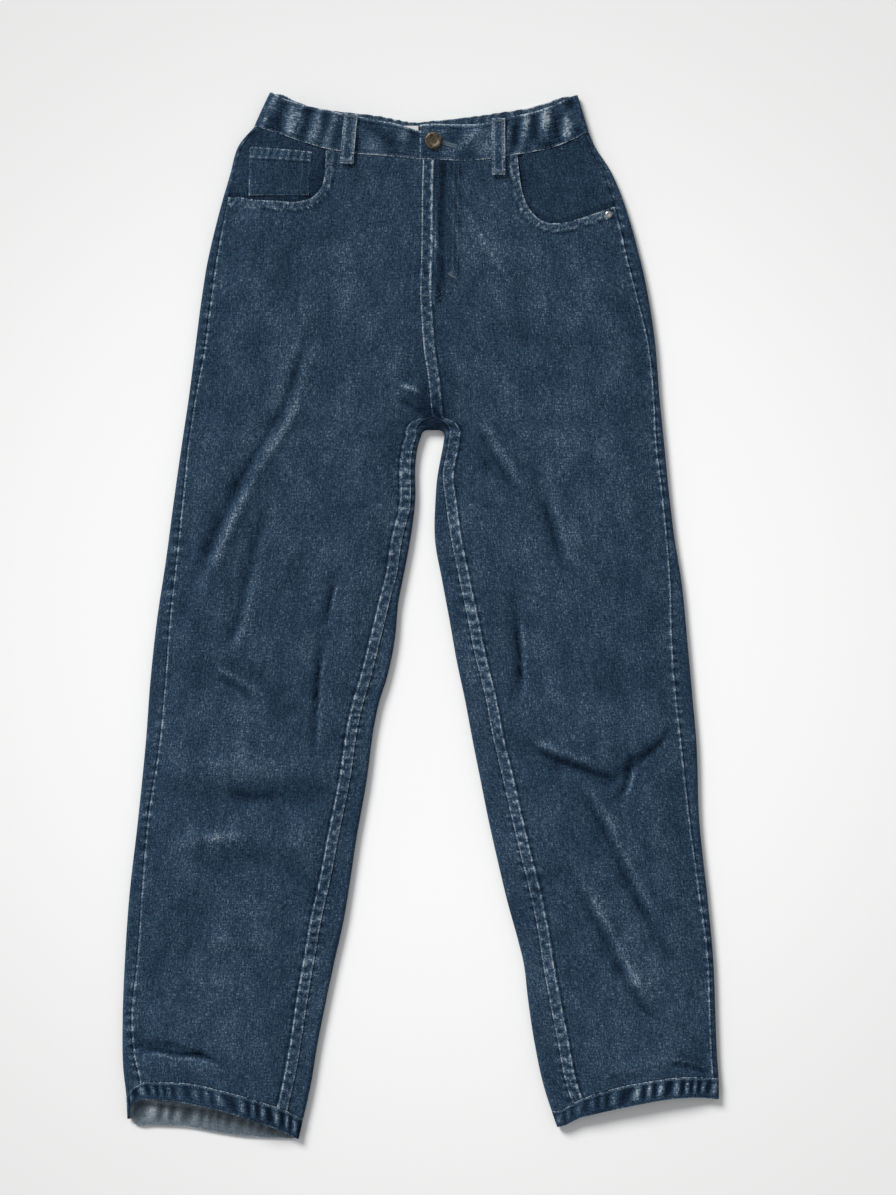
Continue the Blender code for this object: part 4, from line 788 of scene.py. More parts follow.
def makeFront(side):
    plan, hips = frontPlan(side)
    height, wearAndShading = lieOver(plan, fold["panel"])
    gapOut = np.linalg.norm(plan - plan[:, :1], axis=-1)
    gapIn = np.linalg.norm(plan - plan[:, -1:], axis=-1)
    drop = plan[..., 1]
    rowPast = np.arange(len(plan))[:, None] - hips
    leg = ease((rowPast + 1) / 3)
    outerPuck = puckered(drop, gapOut, side["seed"])
    innerPuck = puckered(drop, np.maximum(gapIn - felled["width"], 0), side["seed"] + 2) * 0.7 * leg
    seamed = leg if side is right else np.maximum(leg, 1.0)
    strip = (1 - ease((gapIn - felled["width"] + felled["step"]) / felled["step"])) * seamed
    height += puckers["rise"] * (outerPuck + innerPuck) + felled["rise"] * strip
    # Pucker crests rubbed lighter, and their hollows painted darker as shade
    wearAndShading += puckers["wearAndShading"] * (outerPuck + innerPuck)
    mottle = np.sin(drop * 0.62 + 2 * np.sin(drop / 11)) * np.sin(gapIn * 0.5 + drop * 0.13)
    # Worn light lines along the felled strip's edge and the inseam, and a painted shadow line just outside the
    # strip's raised step
    wearAndShading += seamed * ((0.36 + 0.16 * mottle) * np.exp(-((gapIn - felled["width"] + 1.2) / 0.9) ** 2)
                      - 0.24 * np.exp(-((gapIn - felled["width"] - 0.9) / 1.1) ** 2)
                      + (0.30 - 0.12 * mottle) * np.exp(-((gapIn / 1.1) ** 2)))
    wearAndShading += (0.05 + 0.17 * mottle) * strip
    wearAndShading += (0.34 * np.exp(-(((gapOut - 1.3) / 0.9) ** 2)) - 0.20 * np.exp(-((gapOut / 0.7) ** 2)))
    edge = np.full(height.shape, 99.0)
    if side is left:
        flap = flyFlap(plan) * (1 - ease(rowPast / 4.0))
        height += fly["rise"] * flap
        wearAndShading -= 0.06 * flap
        inward = plan[..., 0] - smooth(centreLine, drop)
        streak = np.sin(drop / 17 + 1.3 * np.sin(drop / 29)) * (drop < 240)
        wearAndShading += flap * (0.26 * np.exp(-(((inward - 11.5 - streak) / 2.6) ** 2))
                        - 0.26 * np.exp(-(((inward - 19.5 + streak) / 3.0) ** 2)))
        height += flap * 0.5 * np.exp(-(((inward - 12 - streak) / 3.5) ** 2))
        edge = np.where(rowPast < 0, gapIn, edge)
        fall = np.clip((drop - fly["turn"]) / (fly["foot"] - fly["turn"]), 0, 1)
        for reach in fly["stitches"]:
            beyond = inward - reach * np.sqrt(1 - fall ** 2)
            sewn = (fall < 1) * (rowPast < 0)
            wearAndShading += sewn * (0.17 * np.exp(-((beyond / 0.8) ** 2)) - 0.10 * np.exp(-(((beyond - 1.7) / 0.9) ** 2)))
        seamLine = np.abs(plan[..., 0] - smooth(centreLine, drop) - 14)
        wearAndShading += 0.05 * flap * np.sin(plan[..., 0] * 1.1 + drop / 40) * np.exp(-((seamLine / 9) ** 2))
    across, _, _ = fromPath(plan, pocketPath(side))
    keep = side["sign"] * across
    band = 1 - ease((keep - pocketEdge["width"] + pocketEdge["step"]) / pocketEdge["step"])
    height += pocketEdge["rise"] * band
    # Worn light lines at the pocket band's stitched edge and at the opening, and a painted shadow line just
    # outside the band's raised step
    wearAndShading += (0.30 * np.exp(-((keep - pocketEdge["width"] + 1.0) / 0.9) ** 2)
             + 0.26 * np.exp(-((keep - 1.0) / 0.9) ** 2) + 0.03 * band
             - 0.22 * np.exp(-((keep - pocketEdge["width"] - 0.9) / 1.1) ** 2))
    wearAndShading += 0.14 * band * np.sin(across * 0.3 + (plan[..., 0] + drop) * 0.8)
    edge = np.minimum(edge, np.where(keep > -5, np.abs(keep), 99))
    weave = weaveOf(plan)
    columns = np.dstack([plan, height, weave, wearAndShading, edge]).reshape(-1, 7)
    values, faces = keepPart(columns, gridFaces(*plan.shape[:2]), keep.ravel())
    addPiece("front_" + side["word"], values[:, :3], faces, (looks["denim"], looks["denimInside"]),
             values[:, 3:5], values[:, 5], values[:, 6], cloth["panel"])
    return plan


def makeFacing(side, plan):
    foot = max(drop for _, drop in side["pocket"]) + 10
    rows = 1 + int(np.argmax(plan[:, 0, 1] > foot))
    inner = side["sign"] * (abs(side["pocket"][0][0]) - 12)
    share = np.linspace(0, 1, 44)
    place = np.zeros((rows, len(share), 2))
    for r in range(rows):
        line = plan[r, np.argsort(plan[r, :, 0])]
        place[r, :, 0] = mix(plan[r, 0, 0], inner, share)
        place[r, :, 1] = np.interp(place[r, :, 0], line[:, 0], line[:, 1])
    height, wearAndShading = lieOver(place, fold["panel"])
    gapOut = np.linalg.norm(place - place[:, :1], axis=-1)
    across, _, _ = fromPath(place, pocketPath(side))
    keep = side["sign"] * across
    under = cloth["panel"] + 0.35
    height -= mix(0.3, under, ease((keep + 8) / 6)) * np.maximum(ease(gapOut / 6), ease((keep + 6) / 4))
    puck = puckered(place[..., 1], gapOut, side["seed"])
    height += 0.6 * puckers["rise"] * puck * (1 - ease((keep + 8) / 6))
    # Pucker crests lighter and hollows darker, and the facing painted darker as shade under the front panel, most
    # near the pocket edge
    wearAndShading += 0.5 * puckers["wearAndShading"] * puck - 0.08 - 0.14 * ease((keep + 6) / 6)
    addPiece("pocket_facing_" + side["word"], np.dstack([place, height]),
             gridFaces(*place.shape[:2]), (looks["denim"],), weaveOf(place), wearAndShading, 99.0,
             cloth["panel"] - 0.2)


def makeCoinPocket():
    a, b, c, d = (np.array(corner, float) for corner in coinPocket["corners"])
    down, share = np.meshgrid(np.linspace(0, 1, 25), np.linspace(0, 1, 34), indexing="ij")
    down, share = down[..., None], share[..., None]
    plan = mix(mix(a, b, share), mix(d, c, share), down)
    height, wearAndShading = lieOver(plan, fold["panel"])
    fromTop = down[..., 0] * np.linalg.norm(d - a)
    fromSide = np.minimum(share, 1 - share)[..., 0] * np.linalg.norm(b - a)
    fromFoot = (1 - down[..., 0]) * np.linalg.norm(d - a)
    hem = 1 - ease((fromTop - coinPocket["hem"] + 0.9) / 0.9)
    height += coinPocket["rise"] - 0.3 + 0.5 * hem
    height -= 0.5 * (1 - ease(np.minimum(fromSide, fromFoot) / 1.5))
    # A worn light line at the hem's fold, the pocket below the hem a little darker, and a painted shadow line
    # just below the hem's raised edge
    wearAndShading += 0.20 * np.exp(-((fromTop - coinPocket["hem"] + 1) / 0.9) ** 2) - 0.06 * (1 - hem)
    wearAndShading -= 0.16 * np.exp(-((fromTop - coinPocket["hem"] - 0.9) / 1.0) ** 2)
    wearAndShading += 0.14 * np.sin(plan[..., 0] * 0.9 + 1.5 * np.sin(plan[..., 1] / 5)) * hem
    addPiece("coin_pocket", np.dstack([plan, height]), gridFaces(*plan.shape[:2]),
             (looks["denim"],), plan, wearAndShading, np.minimum(fromTop, np.minimum(fromSide, fromFoot) + 0.3),
             1.0)


def edgeWrap(point, out, inset, radius, tops, arcs, shift):
    # Rows of points from a seam on top, in to the fold and round it to the surface
    share = np.arange(tops) / tops
    inside = mix(inset[:, None], radius, share)
    angle = np.linspace(math.pi, 0, arcs)
    inside = np.hstack([inside, np.broadcast_to(radius - radius * np.sin(angle), (len(inset), arcs))])
    place = point[:, None] - out[:, None] * inside[..., None]
    moved = np.concatenate([np.ones(tops), (angle > math.pi / 2).astype(float)])
    place[..., 1] += moved * shift(place)
    height, wearAndShading = lieOver(place, radius)
    height[:, tops:] = radius - radius * np.cos(angle)
    gap = inset[:, None] - inside
    gap[:, tops:] = inset[:, None] - radius + radius * (math.pi - angle)
    return np.dstack([place, height]), wearAndShading, gap


def pocketOutline(side):
    sign, size = side["sign"], backPocket
    near = sign * size["inner"]
    far = near + sign * size["width"]
    top, low, taper = size["top"], size["top"] + size["height"] - size["point"], 6 * sign
    return np.array([(near, top), (far, top), (far - taper, low),
                     ((near + far) / 2, low + size["point"]), (near + taper, low)])


def floorHeight(side, points):
    corners = pocketOutline(side)
    away = np.maximum(np.maximum(corners.min(0) - points, points - corners.max(0)), 0)
    near = np.linalg.norm(away, axis=-1)
    return cloth["lift"] + (cloth["panel"] + 0.35) * (1 - ease((near - 4) / 24))


def backBandSeam(across):
    return smooth(backTop, across) + waist["height"]


def makeBack(side):
    sign, seam, arcs, floors = side["sign"], cloth["seam"] / 2, mesh["arc"], mesh["floor"]
    outer, hips, inner, innerOut, inset = panelRows(side)
    top, hem = outer[0], outer[-1]
    yokes = int(np.argmax(outer > yoke["side"]))
    bandSeam = backBandSeam(smooth(centreLine, 66)) + cloth["backGap"]
    hipDrops = np.concatenate([np.linspace(bandSeam, yoke["centre"], yokes),
                               np.linspace(yoke["centre"] + yoke["gap"], crotch["edge"] - 7,
                                           hips - yokes)])
    outer[:yokes] = np.linspace(top, yoke["side"], yokes)
    outer[yokes] = yoke["side"] + yoke["gap"]
    point, out = edgePoint(side, "outer", outer)
    outerTops, innerTops = 8, 10
    first, firstWearAndShading, firstGap = edgeWrap(
        point, out, insetAt(side, "outer", outer) - seam, fold["panel"], outerTops, arcs,
        lambda p: endShift(side, p[..., 0], p[..., 1], top + p[..., 1] - outer[:, None],
                           hem + p[..., 1] - outer[:, None]))
    legDrop = inner[:, 1]
    last, lastWearAndShading, lastGap = edgeWrap(
        inner, innerOut, inset - seam, fold["panel"], innerTops, arcs,
        lambda p: endShift(side, p[..., 0], p[..., 1], 0.0,
                           side["hem"][1] - cloth["endGap"] + p[..., 1] - legDrop[:, None])
        * (legDrop[:, None] > 900))
    last, lastWearAndShading, lastGap = last[:, ::-1], lastWearAndShading[:, ::-1], lastGap[:, ::-1]
    # Along both seams: pucker crests rubbed lighter and their hollows painted darker as shade, with a darker line
    # along each seam
    puckA = puckered(first[..., 1], firstGap, side["seed"])
    first[..., 2] += puckers["rise"] * puckA * (first[..., 2] > fold["panel"])
    firstWearAndShading = firstWearAndShading + puckers["wearAndShading"] * puckA - 0.10 * np.exp(-((firstGap / 0.9) ** 2))
    puckB = puckered(last[..., 1], lastGap, side["seed"] + 2)
    last[..., 2] += 0.6 * puckers["rise"] * puckB * (last[..., 2] > fold["panel"])
    lastWearAndShading = lastWearAndShading + puckers["wearAndShading"] * puckB - 0.16 * np.exp(-((lastGap / 1.0) ** 2))
    contact = point - out * fold["panel"]
    finish = np.vstack([np.stack([smooth(centreLine, hipDrops) + sign * seam, hipDrops], axis=-1),
                        inner - innerOut * fold["panel"]])
    share = np.linspace(0, 1, floors + 1)[1:]
    plan = mix(contact[:, None], finish[:, None], share[None, :, None])
    floor = np.dstack([plan, floorHeight(side, plan)])
    floorWear = np.zeros(plan.shape[:2])
    narrow = np.concatenate([first, floor], axis=1)
    wearAndShading = np.hstack([firstWearAndShading, floorWear])
    wide = np.concatenate([narrow[hips:], last[:, 1:]], axis=1)
    wideWearAndShading = np.hstack([wearAndShading[hips:], lastWearAndShading[:, 1:]])
    cols, wideCols = narrow.shape[1], wide.shape[1]

    def weaveRun(rows):
        run = np.linalg.norm(np.diff(rows[:, :, :2], axis=1), axis=-1)
        run += np.abs(np.diff(rows[:, :, 2], axis=1))
        return np.stack([np.hstack([np.zeros((len(rows), 1)), np.cumsum(run, axis=1)]), rows[:, :, 1]],
                        axis=-1)

    both = (looks["denim"], looks["denimInside"])
    addPiece("yoke_" + side["word"], narrow[:yokes], gridFaces(yokes, cols), both,
             weaveRun(narrow[:yokes]), wearAndShading[:yokes], 99.0, cloth["panel"])
    low = hips - yokes
    start = low * cols
    faces = [*gridFaces(low, cols).tolist(), *(gridFaces(len(wide), wideCols) + start).tolist()]
    faces += [(start - cols + c, start - cols + c + 1, start + c + 1, start + c) for c in range(cols - 1)]
    addPiece("back_" + side["word"],
             np.vstack([narrow[yokes:hips].reshape(-1, 3), wide.reshape(-1, 3)]), faces, both,
             np.vstack([weaveRun(narrow[yokes:hips]).reshape(-1, 2), weaveRun(wide).reshape(-1, 2)]),
             np.concatenate([wearAndShading[yokes:hips].ravel(), wideWearAndShading.ravel()]), 99.0, cloth["panel"])


def makeBackPocket(side):
    corners = pocketOutline(side)
    a, b = corners[0], corners[1]
    down, share = np.meshgrid(np.linspace(0, 1, 40), np.linspace(0, 1, 37), indexing="ij")
    low = np.where(share[..., None] < 0.5, mix(corners[4], corners[3], 2 * share[..., None]),
                   mix(corners[3], corners[2], 2 * share[..., None] - 1))
    plan = mix(mix(a, b, share[..., None]), low, down[..., None])
    fromTop = down * backPocket["height"]
    fromSide = np.minimum(share, 1 - share) * backPocket["width"]
    fromFoot = (1 - down) * backPocket["height"] * 0.95
    hem = 1 - ease((fromTop - backPocket["hem"] + 1) / 1)
    edge = np.minimum(fromTop, np.minimum(fromSide, fromFoot))
    height = cloth["lift"] + 0.1 + 0.3 * (1 - ease(edge / 2)) - 0.1 * hem
    height += 0.12 * np.sin(plan[..., 0] / 9 + plan[..., 1] / 17)
    wearAndShading = 0.04 + 0.05 * np.exp(-((fromTop - backPocket["hem"]) / 1.2) ** 2)
    addPiece("back_pocket_" + side["word"], np.dstack([plan, height]), gridFaces(40, 37),
             (looks["denim"],), plan, wearAndShading, edge, cloth["panel"] - 0.1, up=False)


# Waistband

def bandAcross(share, height):
    return mix(mix(*waist["seamEnds"], share), mix(*waist["topEnds"], share), height)


def bandFinish(height, wearAndShading, fromTop, fromFoot, across):
    # Rounded folded edges, and the small waves that pressing leaves between rows of stitching
    height -= 0.7 * (1 - ease(fromTop / 2.2)) + 0.5 * (1 - ease(fromFoot / 1.6))
    wave = np.sin(across / 4.3 + 1.8 * np.sin(across / 19)) * np.sin(math.pi * np.clip(
        (fromTop - 2) / 8, 0, 1))
    side = ease((np.abs(across + 2) - 62) / 30)
    lean = across + 0.35 * fromTop
    crumple = (np.sin(lean / 3.4 + 1.7 * np.sin(across / 15)) * (0.25 + 0.75 * side)
               + 0.5 * np.sin(across / 7.7 - fromTop / 9 + 2 * np.sin(across / 33)))
    gathered = ridges(np.stack([across, fromTop + smooth(waistSeam, across) - 38], axis=-1), gathers)
    height += 0.14 * wave + 0.55 * crumple
    # Crests of the waves, crumples and gathers painted lighter and their hollows darker, as light and shade
    wearAndShading += 0.10 * wave + 0.17 * crumple + 0.14 * gathered
    # Worn light lines along both folded edges, and darker lines a little inside them
    wearAndShading += 0.36 * np.exp(-((fromTop - 0.9) / 0.9) ** 2) - 0.16 * np.exp(-((fromTop - 3.6) / 1.1) ** 2)
    wearAndShading += 0.36 * np.exp(-((fromFoot - 0.8) / 0.8) ** 2) - 0.16 * np.exp(-((fromFoot - 3.2) / 1.1) ** 2)
    return height, wearAndShading


def makeFrontBand(name, first, last, topTable, endColumn, endAcross, dips):
    share, height = np.meshgrid(np.linspace(first, last, 62), np.linspace(0, 1, 19))
    across = bandAcross(share, height)
    blend = ease(1 - np.abs(share - share[0, endColumn]) / 0.06)
    across = mix(across, across - (across[:, endColumn] - endAcross)[:, None], blend)
    low, high = smooth(waistSeam, across), smooth(topTable, across)
    plan = np.stack([across, mix(low, high, height)], axis=-1)
    rise, wearAndShading = lieOver(plan, fold["band"], gathers)
    fromTop, fromFoot = plan[..., 1] - high, low - plan[..., 1]
    rise, wearAndShading = bandFinish(rise, wearAndShading + 0.03, fromTop, fromFoot, across)
    fromEnd = np.abs(across - endAcross)
    if dips:
        rise -= waist["underlapDip"] * ease((across + 16) / 13.5)
        edge = np.minimum(fromTop, fromFoot)
    else:
        rise -= 0.6 * (1 - ease(fromEnd / 1.6))
        edge = np.minimum(np.minimum(fromTop, fromFoot), fromEnd)
    addPiece(name, np.dstack([plan, rise]), gridFaces(*plan.shape[:2]), (looks["denim"],),
             plan[..., ::-1], wearAndShading, edge, cloth["folded"])


def loopRise(across):
    near = np.min([np.abs(across - place) for _, place in backLoops], axis=0)
    return (backLoop["thick"] + 0.35) * (1 - ease((near - backLoop["flat"]) / backLoop["ramp"]))


def makeBackBand():
    heights = np.linspace(0, 1, 15)
    tops, arcs, floors = 14, 9, 260
    parts = []
    for k, (side, join) in enumerate(((right, waist["rightJoin"]), (left, waist["leftJoin"]))):
        low = np.array([waist["seamEnds"][k], smooth(waistSeam, waist["seamEnds"][k])])
        high = np.array([waist["topEnds"][k], smooth(backTop, waist["topEnds"][k])])
        point = mix(low, high, heights[:, None])
        run = unit(high - low)
        out = np.array([-run[1], run[0]]) * (1 if -run[1] * side["sign"] > 0 else -1)
        table = frontTop if side is right else overlapTop
        across = bandAcross(join, heights) + side["sign"] * cloth["seam"] / 2
        start = np.stack([across, mix(smooth(waistSeam, across), smooth(table, across), heights)], axis=-1)
        turnIn = point - out * fold["band"]
        place = mix(start[:, None], turnIn[:, None], (np.arange(tops) / tops)[None, :, None])

        def level(p):
            return mix(smooth(waistSeam, p[..., 0]), smooth(table, p[..., 0]), heights[:, None]) - p[..., 1]

        place[..., 1] += level(place)
        rise, wearAndShading = lieOver(place, fold["band"], gathers)
        fromTop = (1 - heights)[:, None] * waist["height"] + 0 * rise
        rise, wearAndShading = bandFinish(rise, wearAndShading, fromTop, waist["height"] - fromTop, place[..., 0])
        fromJoin = np.linalg.norm(place - place[:, :1], axis=-1)
        pinch = puckered(place[..., 0], fromJoin, side["seed"] + 5)
        rise += 0.5 * pinch
        # Pinch crests painted lighter and their hollows darker as light and shade, and a darker line along the
        # join
        wearAndShading += 0.16 * pinch - 0.10 * np.exp(-((fromJoin / 0.9) ** 2)) + 0.03
        angle = np.linspace(math.pi, 0, arcs)
        wrap = point[:, None] - out * (fold["band"] - fold["band"] * np.sin(angle))[None, :, None]
        wrap[..., 1] += level(wrap) * (angle > math.pi / 2)
        turned = np.broadcast_to(fold["band"] - fold["band"] * np.cos(angle), wrap.shape[:2])
        parts.append((np.concatenate([np.dstack([place, rise]), np.dstack([wrap, turned])], axis=1),
                      np.hstack([wearAndShading, np.zeros(turned.shape)]), turnIn))
    (first, firstWearAndShading, a), (last, lastWearAndShading, b) = parts
    share = np.linspace(0, 1, floors + 2)[1:-1]
    plan = mix(a[:, None], b[:, None], share[None, :, None])
    straight = plan[..., 1].copy()
    level = smooth(backTop, plan[..., 0]) + waist["height"] * (1 - heights[:, None])
    plan[..., 1] = mix(straight, level, ease(np.minimum(share, 1 - share) / 0.08))
    x = plan[..., 0]
    phase = x * waist["gathers"] / 300 + 0.6 * np.sin(x / 31) + 0.35 * np.sin(x / 13 + 1)
    lean = 0.25 * np.sin(x / 23 + 2) * (heights[:, None] - 0.5)
    wave = 0.5 + 0.5 * np.sin(2 * math.pi * (phase + lean))
    strength = (0.7 + 0.3 * np.sin(x / 19 + 3)) * ease(np.minimum(share, 1 - share) / 0.04)
    plan[..., 1] += 0.7 * (wave - 0.5) * strength * ease((heights[:, None] - 0.8) / 0.2)
    rise = cloth["lift"] + loopRise(x) + waist["gatherRise"] * wave * strength
    rise += 0.2 * np.sin(math.pi * heights[:, None])
    points = np.concatenate([first, np.dstack([plan, rise]), last[:, ::-1]], axis=1)
    # Gather crests painted lighter and their valleys darker, as light and shade
    wearAndShading = np.hstack([firstWearAndShading, 0.22 * (wave - 0.5) * strength + 0.02, lastWearAndShading[:, ::-1]])
    weave = np.stack([np.broadcast_to(np.arange(points.shape[1]) * 1.2, points.shape[:2]),
                      np.broadcast_to(heights[:, None] * waist["height"], points.shape[:2])], axis=-1)
    edge = np.minimum(heights, 1 - heights)[:, None] * waist["height"] + 0 * wearAndShading
    addPiece("waistband_back", points, gridFaces(*points.shape[:2]), (looks["denim"],),
             weave[..., ::-1], wearAndShading, edge, cloth["folded"])


def makeWaistband():
    full = waist["seamEnds"][1] - waist["seamEnds"][0]
    over = (-2.5 - waist["seamEnds"][0]) / full
    tab = (waist["underlapEnd"] - waist["seamEnds"][0]) / full
    seam = cloth["seam"] / 2 / full
    makeFrontBand("waistband_right", waist["rightJoin"] + seam, tab, frontTop, -1,
                  waist["underlapEnd"], True)
    makeFrontBand("waistband_left", over, waist["leftJoin"] - seam, overlapTop, 0,
                  waist["overlapEnd"], False)
    makeBackBand()


# Cuffs

def makeCuff(side):
    cuff, radius = side["cuff"], fold["cuff"]
    heights = np.linspace(0, 1, 11)
    fronts, floors, arcs = 84, 60, 9

    def frontDrop(across, height):
        return mix(smooth(cuff["frontTop"], across), smooth(cuff["frontBottom"], across), height)

    wraps, turns = [], []
    for which in ("outer", "inner"):
        (d0, x0), (d1, x1) = cuff[which]
        point = np.stack([mix(x0, x1, heights), mix(d0, d1, heights)], axis=-1)
        sign = side["sign"] if which == "outer" else -side["sign"]
        run = unit(np.array([x1 - x0, d1 - d0], float))
        out = np.array([sign * run[1], -sign * run[0]])
        angle = np.linspace(math.pi, 0, arcs)
        place = point[:, None] - out * (radius - radius * np.sin(angle))[None, :, None]
        place[..., 1] += (frontDrop(place[..., 0], heights[:, None]) - place[..., 1]) * (
            angle > math.pi / 2)
        wraps.append(np.dstack([place, np.broadcast_to(radius - radius * np.cos(angle),
                                                       place.shape[:2])]))
        turns.append(point - out * radius)
    start, finish = turns
    share = np.linspace(0, 1, fronts + 2)[1:-1]
    across = mix(finish[:, :1], start[:, :1], share[None, :])
    front = np.stack([across, frontDrop(across, heights[:, None])], axis=-1)
    rise, wearAndShading = lieOver(front, radius)
    across = mix(start[:, :1], finish[:, :1], np.linspace(0, 1, floors + 2)[None, 1:-1])
    (d0, x0), (d1, x1) = cuff["outer"][0], cuff["inner"][0]
    backTopDrop = d0 + (across - x0) / (x1 - x0) * (d1 - d0)
    floor = np.stack([across, mix(backTopDrop, smooth(cuff["backBottom"], across), heights[:, None])],
                     axis=-1)
    level = np.full(floor.shape[:2], cloth["lift"])
    points = np.concatenate([np.dstack([front, rise]), wraps[0], np.dstack([floor, level]),
                             wraps[1][:, ::-1]], axis=1)
    run = np.concatenate([[0], np.cumsum(np.linalg.norm(np.diff(points[5], axis=0), axis=1))])
    tall = 21.0
    twist = (run / 12.5 + 0.5 * np.sin(run / 23) + 0.22 * np.sin(run / 7.3))[None, :] + 0.4 * heights[:, None]
    rope = np.sin(2 * math.pi * twist) * np.sin(math.pi * np.clip(heights * 1.1, 0, 1))[:, None]
    rope *= (0.7 + 0.3 * np.sin(run / 31 + side["seed"]))[None, :]
    up = np.clip((points[..., 2] - radius) / radius, 0, 1)
    edgeTop, edgeFoot = heights[:, None] * tall, (1 - heights)[:, None] * tall
    points[..., 2] += up * (0.85 * rope - 0.6 * (1 - ease(edgeFoot / 2.5)) - 0.4 * (1 - ease(edgeTop / 1.5)))
    # Roping crests rubbed lighter and their hollows painted darker as shade; a worn light line along the top fold
    # and a darker line just below it
    outerWearAndShading = (0.46 * rope - 0.05 - 0.18 * np.exp(-((edgeTop - 3.4) / 1.1) ** 2)
                 + 0.36 * np.exp(-((edgeTop - 1.1) / 1.0) ** 2))
    wearAndShadingAll = np.hstack([wearAndShading, np.zeros((len(heights), points.shape[1] - fronts))]) + outerWearAndShading
    weave = np.stack([heights[:, None] * tall + 0 * wearAndShadingAll, run[None, :] + 0 * wearAndShadingAll], axis=-1)
    edge = np.minimum(edgeTop, edgeFoot * 1.3) + 0 * wearAndShadingAll
    addPiece("cuff_" + side["word"], points, gridFaces(*points.shape[:2], closed=True),
             (looks["denim"], looks["denimInside"]), weave, wearAndShadingAll, edge, cloth["folded"])


# Small pieces

def makeBeltLoop(name, x0, d0, x1, d1):
    size = beltLoop
    down, share = np.meshgrid(np.linspace(0, 1, 30), np.linspace(-1, 1, 11), indexing="ij")
    centre = np.stack([mix(x0, x1, down), mix(d0, d1, down)], axis=-1)
    run = unit(np.array([x1 - x0, d1 - d0], float))
    plan = centre + share[..., None] * np.array([-run[1], run[0]]) * size["width"] / 2
    rise, wearAndShading = lieOver(plan, fold["band"], gathers)
    level = rise.max(axis=1, keepdims=True)
    long = math.hypot(x1 - x0, d1 - d0)
    fromFoot, fromTop = (1 - down) * long, down * long
    height = level + 0.35 + cloth["loop"] + size["arch"] * np.sin(math.pi * down) ** 0.5
    height += 0.35 * (1 - share ** 2) + 0.9 * (1 - ease((fromFoot - size["lip"]) / 1.2))
    height += 0.5 * (1 - ease((fromTop - 3.5) / 1.5))
    wearAndShading = 0.02 + 0.26 * np.exp(-((np.abs(share) - 0.62) / 0.2) ** 2) + 0.16 * (
        1 - ease((fromFoot - size["lip"]) / 1.2))
    edge = np.minimum((1 - np.abs(share)) * size["width"] / 2, np.minimum(fromFoot, fromTop))
    addPiece(name, np.dstack([plan, height]), gridFaces(*plan.shape[:2]), (looks["denim"],),
             np.stack([share * 7 + 3, down * long], axis=-1), wearAndShading, edge, cloth["loop"])


def makeBackLoop(name, place):
    down, share = np.meshgrid(np.linspace(0, 1, 18), np.linspace(-1, 1, 9), indexing="ij")
    top = smooth(backTop, place) + (waist["height"] - backLoop["height"]) / 2
    plan = np.stack([place + share * backLoop["width"] / 2, top + down * backLoop["height"]], axis=-1)
    height = 0.1 + 0.15 * share ** 2
    edge = (1 - np.abs(share)) * backLoop["width"] / 2
    addPiece(name, np.dstack([plan, height]), gridFaces(18, 9), (looks["denim"],), plan,
             0.08 + 0 * share, edge, 1.2, up=False)


def turned(name, profile, across, drop, height, look, steps):
    data = bpy.data.meshes.new(name)
    data.from_pydata([(r * mm, 0.0, z * mm) for r, z in profile],
                     [(i, i + 1) for i in range(len(profile) - 1)], [])
    data.materials.append(look)
    piece = bpy.data.objects.new(name + "_fine", data)
    bpy.context.scene.collection.objects.link(piece)
    screw = piece.modifiers.new("turn", "SCREW")
    screw.axis = "Z"
    screw.steps = steps
    screw.render_steps = steps
    screw.use_merge_vertices = True
    screw.merge_threshold = 0.00001
    settle(piece)
    place = toFrame((across, drop, height))
    piece.data.transform(Matrix.Translation(place))
    piece.data.shade_smooth()
    piece.data.set_sharp_from_angle(angle=math.radians(35))
    pieces[name] = piece
    return piece


def topAt(across, drop, reach, radius, extra=()):
    angle = np.linspace(0, 2 * math.pi, 17)
    ring = np.stack([across + reach * np.cos(angle), drop + reach * np.sin(angle)], axis=-1)
    return float(lieOver(np.vstack([ring, [[across, drop]]]), radius, extra)[0].max())


def makeButton():
    r, t = button["radius"], button["thick"]
    level = topAt(button["across"], button["drop"], r, fold["band"], gathers) + 0.35
    profile = ((0, t - 0.55), (r * 0.30, t - 0.5), (r * 0.60, t - 0.35), (r * 0.66, t - 0.1),
               (r * 0.72, t), (r * 0.82, t + 0.05), (r * 0.92, t - 0.1), (r * 0.98, t - 0.5),
               (r, t - 1.0), (r * 0.97, t - 1.4), (r * 0.88, t - 1.55), (r * 0.45, t - 1.6),
               (r * 0.42, 0), (0, 0))
    turned("button", profile, button["across"], button["drop"], level, looks["brass"], 48)


def makeRivet():
    r, t = rivet["radius"], rivet["thick"]
    level = topAt(rivet["across"], rivet["drop"], r, fold["panel"]) + pocketEdge["rise"] + 0.05
    profile = ((0, t * 0.75), (r * 0.25, t * 0.8), (r * 0.4, t), (r * 0.62, t * 1.05), (r * 0.85, t * 0.8),
               (r, t * 0.3), (r, 0), (0, 0))
    turned("rivet", profile, rivet["across"], rivet["drop"], level, looks["nickel"], 32)


def makeZip():
    drop, share = np.meshgrid(np.linspace(zipper["top"], zipper["foot"], 60), np.linspace(0, 1, 12),
                              indexing="ij")
    across = smooth(centreLine, drop) + zipper["inset"] + share * zipper["width"]
    plan = np.stack([across, drop], axis=-1)
    height, _ = lieOver(plan, fold["panel"])
    height -= cloth["panel"] + 0.5
    addPiece("zip", np.dstack([plan, height]), gridFaces(60, 12), (looks["tape"],), plan, 0.0, 99.0, 0.8)


